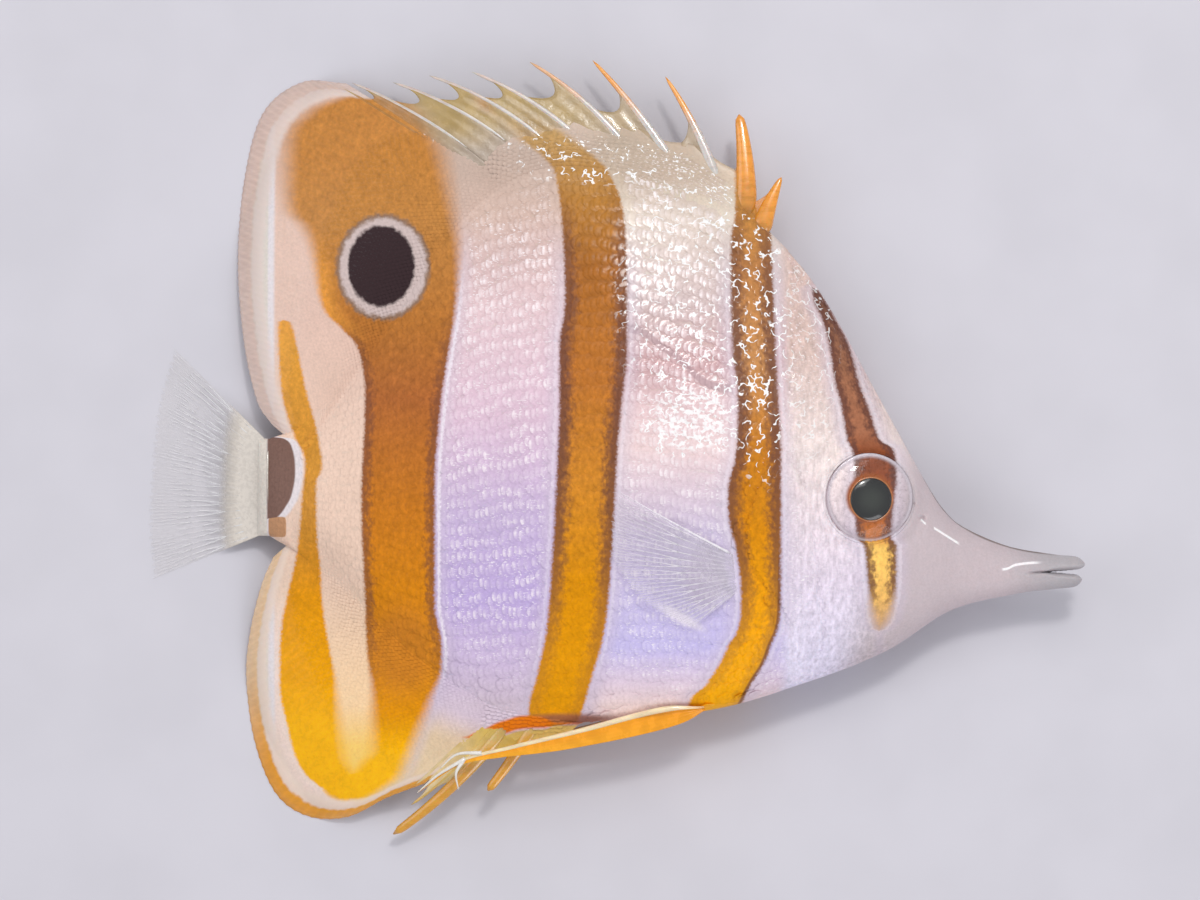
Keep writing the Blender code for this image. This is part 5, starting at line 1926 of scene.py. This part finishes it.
@dataclass(frozen=True)
class Spine:
    """One spine: its foot and tip, its radius at both, how far it bows and how orange it is."""

    root: Pair
    tip: Pair
    radius: float
    bow: float
    tint: float
    tip_radius: float = 0.07


@dataclass
class SpinyFin:
    """A fin of hard spines with webs between them, rooted in a scaly sheath."""

    form: FishForm
    name: str
    on_back: bool
    spines: Sequence[Spine]
    webs: Pairs
    sheath: Pair
    last_root: float
    end: Pair
    web_dip: float = 0.16
    foot_depth: float = 1.0
    buried: float = 0.32
    flatness: float = 0.55
    web_half: Pair = (0.16, 0.04)
    web_edge: float = 0.012
    web_fold: float = 0.02
    last_web: Pair = (0.97, 1.0)
    steps: int = 26
    columns: int = 14
    sheath_depth: float = 1.2
    sheath_height: float = 1.7
    sheath_half: float = 0.8
    sheath_edge: float = 0.03
    sheath_fall: float = 0.25
    sheath_steps: tuple[int, int] = (90, 20)

    @property
    def line(self) -> Curve:
        """The body's outline that the fin stands on."""
        return self.form.back if self.on_back else self.form.belly

    @property
    def out(self) -> int:
        """The direction in y that the fin points in."""
        return 1 if self.on_back else -1

    @staticmethod
    def bowed(root: Array, tip: Array, bow: float, shares: Array) -> Array:
        """Points of a bowed spine at shares of its length."""
        along = tip - root
        across = np.array([along[1], -along[0]]) / np.linalg.norm(along)
        shares = np.asarray(shares)[:, None]
        return root + along * shares + across * bow * 4 * shares * (1 - shares)

    def axes(self) -> list[tuple[Array, Array, float]]:
        """Foot, tip and bow of each spine, and of the line where the last web ends."""
        ends = [(spine.root[0], spine.tip, spine.bow) for spine in self.spines]
        ends.append((self.last_root, self.end, 0.0))
        xs = np.array([x for x, _, _ in ends])
        feet = self.form.off_body(self.line, xs, -self.foot_depth * self.out)
        return [(foot, np.array(tip), bow) for foot, (_, tip, bow) in zip(feet, ends)]

    def spine_shapes(self) -> Shape:
        """The spines as round bars that taper to a point."""
        shapes, share, sides = [], np.linspace(0, 1, self.steps), self.columns
        for number, (axis, spine) in enumerate(zip(self.axes(), self.spines)):
            flat = self.bowed(*axis, share)
            radius = spine.tip_radius + (spine.radius - spine.tip_radius) * (1 - share) ** 0.75
            radius = radius * np.sqrt(1 - 0.96 * np.clip((share - 0.94) / 0.06, 0, 1) ** 2)
            radius = radius * (0.3 + 0.7 * ramp(share, 0, self.buried))
            path = xyz(flat, self.form.rest(flat, radius * self.flatness))
            marks = {"along": share, "tint": np.full(self.steps, spine.tint)}
            bar = tube(path, radius, sides, marks, (0.0, number / 10, 1.0, 0.08))
            level = np.repeat(path[:, 2], sides)
            bar.points[:, 2] = level + (bar.points[:, 2] - level) * self.flatness
            shapes.append(bar)
        return Shape.joined(shapes)

    def web_shapes(self) -> Shape:
        """The webs between the spines."""
        down, across = np.linspace(0, 1, self.steps), np.linspace(0, 1, self.columns)[:, None]
        shapes, lines, (thick, thin) = [], self.axes(), self.web_half
        tints = [*[spine.tint for spine in self.spines], self.spines[-1].tint]
        half = np.tile(thin + (thick - thin) * (1 - down) ** 2, (self.columns, 1))
        half[:, -1] = self.web_edge
        for number, (leaves, meets) in enumerate([*self.webs, self.last_web]):
            points = []
            for share in across.ravel():
                kept = down * (1 - self.web_dip * 4 * share * (1 - share))
                points.append((1 - share) * self.bowed(*lines[number], kept * leaves)
                              + share * self.bowed(*lines[number + 1], kept * meets))
            points = np.array(points)
            fold = self.web_fold * np.sin(5 * math.pi * across) * down
            z = self.form.middle(points[..., 0], points[..., 1]) + fold
            z = np.maximum(z, half + self.form.floor_gap)
            tint = (1 - across) * tints[number] + across * tints[number + 1]
            run = np.linalg.norm(np.diff(points, axis=1), axis=2).cumsum(axis=1)
            shapes.append(thin_sheet(xyz(points, z), half, {
                "along": np.tile(down, (self.columns, 1)), "tint": np.repeat(1 - tint, self.steps, axis=1),
                "foot": np.pad(run, ((0, 0), (1, 0)))}))
        return Shape.joined(shapes)

    def sheath_grid(self) -> tuple[Array, Array, Array]:
        """The sheath's middle points, its half thickness and the share of its height."""
        count, rows = self.sheath_steps
        xs = self.form.spaced_along(self.line, *self.sheath, count)
        part, down, deep = np.linspace(0, 1, count), np.linspace(0, 1, rows), self.sheath_depth
        rise = self.sheath_height * (0.02 + 0.98 * ramp(part, 0.07, 0.27))
        rise = rise * (0.1 + 0.9 * ramp(1 - part, 0, self.sheath_fall)) * (1 + 0.1 * np.sin(40 * part))
        points = np.stack([self.form.off_body(self.line, xs, self.out * (-deep + (deep + rise) * share))
                           for share in down], axis=1)
        half = np.tile(self.sheath_edge + self.sheath_half * (1 - down) ** 1.35, (count, 1))
        return xyz(points, self.form.rest(points, half)), half, down

    def sheath_shape(self) -> Shape:
        """The scaly sheath along the fin's foot."""
        middle, half, _ = self.sheath_grid()
        return thin_sheet(middle, half, {"rim": np.full(half.shape, FAR_IN)})


@dataclass
class PelvicFin:
    """A long narrow fin folded back under the belly: a stout leading spine, rays and filaments."""

    form: FishForm
    side: Side
    upper: Pairs = ((5.2, -15.6), (2.6, -15.75), (-2, -16.95), (-6.3, -18), (-9.6, -18.9), (-12.05, -20.75))
    lower: Pairs = ((5.3, -15.75), (3.9, -16.55), (1.24, -17.3), (-2.8, -18.1), (-4.9, -18.4),
                    (-7.1, -18.65), (-9.6, -19.15), (-12.1, -20.85))
    filaments: Sequence[Pairs] = (
        ((-9.2, -18.7), (-10.9, -19.75), (-12.1, -20.8)), ((-9.3, -18.8), (-9.75, -19.6), (-9.6, -20.6)),
        ((-8.2, -18.35), (-9.7, -18.45), (-10.7, -19.3)))
    stand_off: float = 1.2
    half: float = 0.15
    lowest: float = 0.25
    columns: int = 60
    rows: int = 19
    rays: int = 5

    def level(self, flat: Array) -> Array:
        """Height of the fin at a place: just off the flank, or off the middle plane beyond it."""
        x, y = flat[..., 0], flat[..., 1]
        off = np.maximum(self.stand_off, self.form.half(x, self.form.share(x, y)) + 0.33 + self.half)
        return np.maximum(self.form.middle(x, y) + self.side.value * off, self.lowest)

    def membrane_shape(self) -> Shape:
        """The orange membrane with its rays as ridges."""
        share, along = np.linspace(0, 1, self.rows), np.linspace(0, 1, self.columns)[:, None]
        points = between(evenly(self.upper, self.columns), evenly(self.lower, self.columns), share)
        ray = (0.5 + 0.5 * np.cos(2 * math.pi * share * self.rays)) ** 2
        half = (0.08 + 0.025 * ray) * (1.2 - 0.75 * along)
        marks = {"along": np.tile(share, (self.columns, 1)), "tint": np.tile(along, (1, self.rows))}
        return thin_sheet(xyz(points, self.level(points)), half, marks)

    def spine_shape(self) -> Shape:
        """The pale leading spine along the upper edge."""
        flat, share = evenly(self.upper, 40), np.linspace(0, 1, 40)
        radius = (0.17 * (1 - share) ** 0.6 + 0.035) * (0.3 + 0.7 * ramp(share, 0, 0.15))
        return tube(xyz(flat, self.level(flat)), radius, 12, {"along": share})

    def filament_shapes(self) -> Shape:
        """The white threads at its end."""
        share, flats = np.linspace(0, 1, 16), [evenly(points, 16) for points in self.filaments]
        radius = 0.1 * (1 - share) + 0.03
        return Shape.joined([tube(xyz(flat, self.level(flat) + 0.12), radius, 8, {"along": share})
                             for flat in flats])


@dataclass
class Eye:
    """One eye: a ball with its iris, a pupil in a copper ring, and a clear dome."""

    form: FishForm
    side: Side
    pupil_offset: Pair = (0.05, -0.1)
    pupil_radius: float = 1.29
    plateau: float = 0.3
    iris_slope: float = 0.3
    dome_height: float = 0.68
    axis: float = 0.01

    def turned(self, profile: Pairs, off: float = 0.0) -> Shape:
        """A turned body on the eye.

        Args:
            profile: its outline.
            off: 0 for the eye's own middle and 1 for the pupil's.

        Returns:
            The turned body.
        """
        x, y, z = self.form.eye_place(self.side)
        aside, up = self.pupil_offset[0] * off, self.pupil_offset[1] * off
        tilt = self.form.eye_tilt
        place = (x + aside, y + up, z - math.sin(self.side.value * tilt) * aside)
        return turned(profile, place, self.side, tilt)

    def dome(self, radius: float, height: float, level: float, steps: int) -> list[Pair]:
        """The outline of a dome, from its rim to its top."""
        bends = np.linspace(0, math.pi / 2, steps)
        return [(max(radius * math.cos(t), self.axis), level + height * math.sin(t)) for t in bends]

    def ball(self) -> Shape:
        """The eyeball with the iris on its front."""
        radius = self.form.eye_radius + 0.03
        profile = [(self.axis, -1.25), (1.2, -1.15), (2.1, -0.75), (2.5, -0.3), (radius, 0)]
        profile += [(r, self.plateau * (1 - self.iris_slope * ((r - 1.3) / (radius - 1.3)) ** 2))
                    for r in np.linspace(radius - 0.02, 1.35, 16)]
        return self.turned([*profile, *[(r, self.plateau) for r in (1.2, 0.9, 0.5, self.axis)]])

    def pupil(self) -> Shape:
        """The black lens of the pupil."""
        foot = self.plateau - 0.1
        dome = self.dome(self.pupil_radius, 0.2, self.plateau + 0.03, 14)
        return self.turned([(self.axis, foot), (self.pupil_radius, foot), *dome], 1.0)

    def ring(self) -> Shape:
        """The thin copper ring round the pupil."""
        profile = [(self.pupil_radius + 0.02 + 0.055 * math.cos(t), self.plateau + 0.03 + 0.05 * math.sin(t))
                   for t in turns(12)]
        shape = self.turned([*profile, profile[0]], 1.0)
        shape.faces, shape.corners = shape.faces[:1], shape.corners[:1]
        return shape.outwards()

    def cornea(self) -> Shape:
        """The clear dome."""
        radius = self.form.eye_radius
        dome = self.dome(radius, self.dome_height, 0.0, 20)
        return self.turned([(self.axis, -0.1), (radius * 0.9, -0.1), *dome])


@dataclass
class Studio:
    """The floor, the soft lights and the camera that looks straight down."""

    place: Place
    picture: tuple[int, int] = (1200, 900)
    scale: float = 16.55
    middle: Pair = (-1.06, -0.09)
    distance: float = 0.5
    sensor: float = 36.0
    subject_height: float = 0.0035
    floor_size: float = 3.0
    nearest: float = 0.001
    sky_strength: float = 0.46

    def floor(self) -> None:
        """A plain pale floor, which isn't part of the fish."""
        bpy.ops.mesh.primitive_plane_add(size=self.floor_size, location=(0.0, 0.0, 0.0))
        floor = bpy.context.object
        floor.name = "floor"
        floor.data.materials.append(FloorFinish("pale_floor").build())

    def light(self, name: str, place: tuple[float, float, float], size: float, power: float,
              colour: Colour = (1.0, 1.0, 1.0)) -> None:
        """A square soft light that faces the fish.

        Args:
            name: its name.
            place: where it stands, in metres.
            size: the length of its side.
            power: its power in watts.
            colour: its colour.
        """
        lamp = bpy.data.lights.new(name, "AREA")
        lamp.shape, lamp.size, lamp.energy, lamp.color = "SQUARE", size, power, colour
        made = bpy.data.objects.new(name, lamp)
        made.location = place
        direction = -made.location
        made.rotation_euler = direction.to_track_quat("-Z", "Y").to_euler()
        bpy.context.scene.collection.objects.link(made)

    def lights(self) -> None:
        """A small key from the upper right in a wider one, two fills and a soft sky."""
        self.light("key", (0.07, 0.2, 0.36), 0.05, 0.4, (1.0, 0.98, 0.95))
        self.light("soft_key", (0.05, 0.3, 0.45), 0.3, 0.7, (1.0, 0.98, 0.95))
        self.light("fill_left", (-0.4, 0.05, 0.35), 0.35, 0.4, (0.95, 0.96, 1.0))
        self.light("fill_front", (0.25, -0.35, 0.3), 0.3, 0.7, (0.98, 0.97, 1.0))
        world = bpy.data.worlds.new("sky")
        bpy.context.scene.world = world
        world.use_nodes = True
        background = world.node_tree.nodes["Background"]
        background.inputs["Color"].default_value = (0.95, 0.96, 1.0, 1.0)
        background.inputs["Strength"].default_value = self.sky_strength

    def camera(self) -> None:
        """The camera, straight above the fish, framed as the photograph is."""
        data = bpy.data.cameras.new("camera")
        data.sensor_width = self.sensor
        data.sensor_fit = "HORIZONTAL"
        width = self.picture[0] / self.scale * MM
        data.lens = self.sensor * self.distance / width
        data.clip_start = self.nearest
        camera = bpy.data.objects.new("camera", data)
        aim = self.place.metres(np.array([*self.middle, 0.0]))
        camera.location = (aim[0], aim[1], self.subject_height + self.distance)
        bpy.context.scene.collection.objects.link(camera)
        bpy.context.scene.camera = camera

    def set_up(self) -> None:
        """Builds all of it."""
        self.floor()
        self.lights()
        self.camera()
        bpy.context.scene.view_settings.view_transform = "Standard"


@dataclass
class Workshop:
    """Turns shapes into pieces of the model and hides the solids that each one stands for."""

    place: Place
    count: int = 0

    def piece(self, name: str, shape: Shape, finish: Material, slot: Slot, nodes: Sequence[str],
              weld: float = 0.0, crisp: float = 0.0) -> None:
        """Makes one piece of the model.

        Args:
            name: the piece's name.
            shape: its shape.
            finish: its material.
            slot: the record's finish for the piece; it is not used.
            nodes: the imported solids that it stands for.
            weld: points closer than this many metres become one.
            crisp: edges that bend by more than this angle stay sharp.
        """
        made = shape.to_object(name, finish, self.place, weld, crisp)
        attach(made, BODY)
        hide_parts(*nodes)
        size = sum(len(p.vertices) - 2 for p in made.data.polygons)
        self.count += size
        log.info("%s: %d triangles", name, size)

    def pieces(self, stem: str, slot: Slot, node: str, parts: dict[str, tuple[Shape, Material]]) -> None:
        """Makes the pieces that stand for one solid.

        Args:
            stem: what their names start with.
            slot: the record's finish that they take.
            node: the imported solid.
            parts: the shape and the material of each piece, by the last word of its name.
        """
        for word, (shape, finish) in parts.items():
            self.piece(f"{stem}_{word}", shape, finish, slot, [node])


@dataclass
class Fish:
    """The whole fish, built part by part."""

    form: FishForm
    shop: Workshop
    markings: bpy.types.NodeTree
    coat: Coat = field(init=False)
    scale_finish: Material = field(init=False)
    flesh: Sequence[str] = ("trunk", "tail_stalk", "head", "gill_cover_right", "gill_cover_left",
                            "snout", "upper_jaw", "lower_jaw")
    weld: float = 2e-8
    fin_floor: float = 0.12

    def build(self) -> None:
        """Builds every part."""
        skin = Skin(self.form)
        self.coat = Coat(self.form, skin)
        self.build_skin(skin)
        self.build_scales()
        self.build_soft_fins()
        self.build_spiny_fins()
        self.build_tail_fin()
        self.build_pectoral_fins()
        self.build_pelvic_fins()
        self.build_eyes()

    def build_skin(self, skin: Skin) -> None:
        """The skin in place of all the solids of flesh."""
        finish = SkinFinish("wet_skin", self.markings).build()
        self.shop.piece("skin", skin.shape(), finish, Slot.SKIN, self.flesh, weld=self.weld)

    def scales(self, name: str, shape: Shape, slot: Slot, node: str) -> None:
        """One piece of scales, with crisp edges."""
        self.shop.piece(name, shape, self.scale_finish, slot, [node], crisp=self.coat.crisp)

    def build_scales(self) -> None:
        """The coats of scales on both sides."""
        self.scale_finish = ScaleFinish("scales", self.markings).build()
        for side in Side:
            self.scales(f"scales_{side.word}", self.coat.body(side), Slot.SKIN, "trunk")
            self.scales(f"head_scales_{side.word}", self.coat.head(side), Slot.SKIN, "head")

    def build_soft_fins(self) -> None:
        """The soft parts of the dorsal and the anal fin."""
        dorsal = SoftFin(self.form, "dorsal_fin_soft", True, (-6.9, -19.7), (
            (-16.5, 22.2), (-19.2, 22.3), (-21.6, 20.4), (-22.75, 16.2), (-23.1, 11.2), (-22.7, 6.4),
            (-21.9, 2.9), (-21, 1.5)), 30)
        anal = SoftFin(self.form, "anal_fin_soft", False, (-6.3, -19.75), (
            (-11.7, -20.3), (-14, -21.2), (-16.4, -22.4), (-18.8, -22.4), (-20.8, -21), (-22.1, -17.8),
            (-22.6, -13.9), (-22.3, -10.9), (-21.6, -8.2), (-20.9, -6.6)), 22)
        pink = SoftFinFinish("dorsal_skin", self.markings)
        orange = SoftFinFinish("anal_skin", self.markings, margin=rgb(250, 212, 170),
                               low_margin=rgb(246, 170, 44), line=rgb(250, 226, 210), margin_width=0.8,
                               line_width=0.75, clear=0.5)
        for fin, finish in ((dorsal, pink), (anal, orange)):
            self.shop.piece(f"{fin.name}_skin", fin.shape(), finish.build(), Slot.SOFT_FINS, [fin.name])
            for side in Side:
                grid, down, rim = fin.faces_of(side)
                shape = self.coat.fin_base(side, grid, down, 0.72, 0.42, rim, 2.0)
                self.scales(f"{fin.name}_scales_{side.word}", shape, Slot.SOFT_FINS, fin.name)

    def build_spiny_fins(self) -> None:
        """The spiny parts of the dorsal and the anal fin."""
        spines = [Spine((9.1, 13.2), (9.9, 16.4), 0.78, -0.1, 1.0),
                  Spine((8.3, 13.9), (7.35, 20.2), 0.8, 0.25, 1.0, 0.24)]
        spines += [Spine(*spine) for spine in (
            ((7.3, 14.8), (2.9, 22.5), 0.42, 0.4, 0.8), ((4.9, 16.2), (-1.5, 23.5), 0.36, 0.3, 0.7),
            ((2.2, 17.1), (-5.3, 23.4), 0.28, 0.6, 0.5), ((-0.4, 17.7), (-8.8, 22.8), 0.25, 0.65, 0.3),
            ((-2.8, 17.9), (-11.4, 22.6), 0.22, 0.65, 0.3), ((-5, 17.6), (-13.6, 22.2), 0.2, 0.6, 0.3),
            ((-7, 16.9), (-16.1, 22.2), 0.19, 0.5, 0.3))]
        webs = ((0.95, 0.24), (0.66, 0.33), (0.72, 0.33), (0.78, 0.55), (0.88, 0.68), (0.9, 0.7),
                (0.92, 0.76), (0.93, 0.8))
        dorsal = SpinyFin(self.form, "dorsal_fin_spines", True, spines, webs, (10.3, -9.4), -7.7,
                          (-17.1, 22.15), sheath_fall=0.15)
        spines = [Spine((-4.4, -16.5), (-7.85, -20.7), 0.42, -0.15, 1.0, 0.24),
                  Spine((-5.9, -16.5), (-13.6, -23.4), 0.46, -0.5, 1.0, 0.24),
                  Spine((-6.7, -16.4), (-12.5, -21.6), 0.2, -0.4, 0.4)]
        anal = SpinyFin(self.form, "anal_fin_spines", False, spines, ((0.64, 0.44), (0.7, 0.86)),
                        (-1.2, -10.6), -7.3, (-12.4, -20.5), sheath_height=1.25)
        hard = SpineFinish("dorsal_spines")
        gold = SpineFinish("anal_spines", foot=rgb(222, 192, 110), tip=rgb(222, 158, 30),
                           root=rgb(216, 186, 110), grain=0.05)
        web = WebFinish("dorsal_web", self.markings)
        olive = WebFinish("anal_web", base=rgb(222, 188, 92), tint=rgb(236, 218, 184), solid=(0.95, 0.75))
        for fin, spine_finish, web_finish in ((dorsal, hard, web), (anal, gold, olive)):
            stem = fin.name.replace("_spines", "")
            sheath = SoftFinFinish(f"{stem}_sheath_skin", self.markings, clear=0.0)
            self.shop.pieces(stem, Slot.SPINY_FINS, fin.name, {
                "spikes": (fin.spine_shapes(), spine_finish.build()),
                "web": (fin.web_shapes(), web_finish.build()),
                "sheath": (fin.sheath_shape(), sheath.build())})
            middle, half, down = fin.sheath_grid()
            far = np.full(half.shape, FAR_IN)
            for side in Side:
                grid = middle + side.value * xyz(np.zeros((*half.shape, 2)), half)
                shape = self.coat.fin_base(side, grid, down, 0.9, 0.5, far, 0.0)
                self.scales(f"{stem}_sheath_scales_{side.word}", shape, Slot.SPINY_FINS, fin.name)

    def lying(self, flat: Array, _: Array) -> Array:
        """Height of a fin that lies behind the body, just off the floor."""
        return np.maximum(self.form.middle(flat[..., 0], flat[..., 1]), self.fin_floor)

    def above(self, flat: Array, down: Array) -> Array:
        """Height of the pectoral fin that stands off the flank that shows."""
        skin = self.form.surface(Side.RIGHT, flat[..., 0], flat[..., 1])
        return skin + 0.45 * ramp(down, 0, 0.3) + 0.3 * down**1.5

    def below(self, flat: Array, down: Array) -> Array:
        """Height of the pectoral fin that is pressed under the fish."""
        level = self.form.bed_depth - 0.55
        skin = self.form.surface(Side.LEFT, flat[..., 0], flat[..., 1])
        return level + (skin - level) * (1 - ramp(down, 0, 0.25)) * 0.9

    def build_tail_fin(self) -> None:
        """The clear tail fin."""
        root = np.column_stack([np.full(30, -21.15), np.linspace(0.35, -5.05, 30)])
        outline = evenly(((-27, 6.1), (-27.95, 2.9), (-28.4, -1.3), (-28.55, -4.9), (-28.3, -7.95)), 60)
        fin = FanFin(self.form, root, outline, 17, self.lying, (0.055, 0.02), root_half=0.95)
        membrane = ClearFinFinish("tail_membrane", tint=rgb(226, 217, 206), solid=(0.92, 0.06),
                                  full=0.25, reach=0.45)
        rays = ClearFinFinish("tail_rays", tint=rgb(250, 250, 252), solid=(0.75, 0.25), full=0.3, patchy=0.8)
        self.shop.pieces("tail_fin", Slot.CLEAR_FINS, "tail_fin", {
            "membrane": (fin.membrane_shape(), membrane.build()), "rays": (fin.ray_shapes(), rays.build())})

    def build_pectoral_fins(self) -> None:
        """The clear pectoral fins: one on the flank that shows and one pressed under the fish."""
        root = np.linspace((6.9, -6.35), (7.15, -8.65), 20)
        outline = evenly(((0.1, -2.6), (-0.45, -4.3), (-0.4, -6.4), (0.5, -8.1), (2, -9.6), (4.5, -10.7)), 60)
        membrane = ClearFinFinish("pectoral_membrane", tint=rgb(232, 226, 238), solid=(0.34, 0.08)).build()
        rays = ClearFinFinish("pectoral_rays", tint=rgb(252, 248, 254), solid=(0.8, 0.55), faint=0.3).build()
        for side, height in ((Side.RIGHT, self.above), (Side.LEFT, self.below)):
            node = f"pectoral_fin_{side.word}"
            fin = FanFin(self.form, root, outline, 14, height, forks=(0.45, 0.72), bow=0.03, lead=0.08)
            self.shop.pieces(node, Slot.CLEAR_FINS, node, {
                "membrane": (fin.membrane_shape(), membrane), "rays": (fin.ray_shapes(), rays)})

    def build_pelvic_fins(self) -> None:
        """The two pelvic fins."""
        orange = WebFinish("pelvic_web", base=rgb(250, 162, 14), tint=rgb(250, 178, 30), solid=(1.0, 0.95),
                           rise=NO_RISE, relief=0.01).build()
        pale = SpineFinish("pelvic_spine", foot=rgb(248, 226, 184), tip=rgb(252, 212, 84), turn=(0.3, 0.9),
                           rise=NO_RISE).build()
        white = ClearFinFinish("pelvic_threads", tint=rgb(244, 240, 232), solid=(0.95, 0.8)).build()
        for side in Side:
            fin, node = PelvicFin(self.form, side), f"pelvic_fin_{side.word}"
            self.shop.pieces(node, Slot.PELVIC_FINS, node, {
                "membrane": (fin.membrane_shape(), orange), "spine": (fin.spine_shape(), pale),
                "threads": (fin.filament_shapes(), white)})

    def build_eyes(self) -> None:
        """Both eyes."""
        iris = IrisFinish("iris", self.markings).build()
        black = PupilFinish("pupil").build()
        copper = rgb(196, 120, 60)
        ring = SpineFinish("copper_ring", foot=copper, tip=copper, rise=NO_RISE).build()
        clear = CorneaFinish("cornea").build()
        for side in Side:
            eye, node = Eye(self.form, side), f"eye_{side.word}"
            self.shop.pieces(node, Slot.EYES, node, {
                "ball": (eye.ball(), iris), "pupil": (eye.pupil(), black), "ring": (eye.ring(), ring),
                "cornea": (eye.cornea(), clear)})


def main() -> None:
    """Builds the fish and the studio."""
    logging.basicConfig(level=logging.INFO, format="%(message)s")
    form = FishForm()
    place = Place.from_frame(form)
    shop = Workshop(place)
    Fish(form, shop, Markings(place, form).build()).build()
    Studio(place).set_up()
    log.info("whole fish: %d triangles", shop.count)


if __name__ == "__main__":
    main()
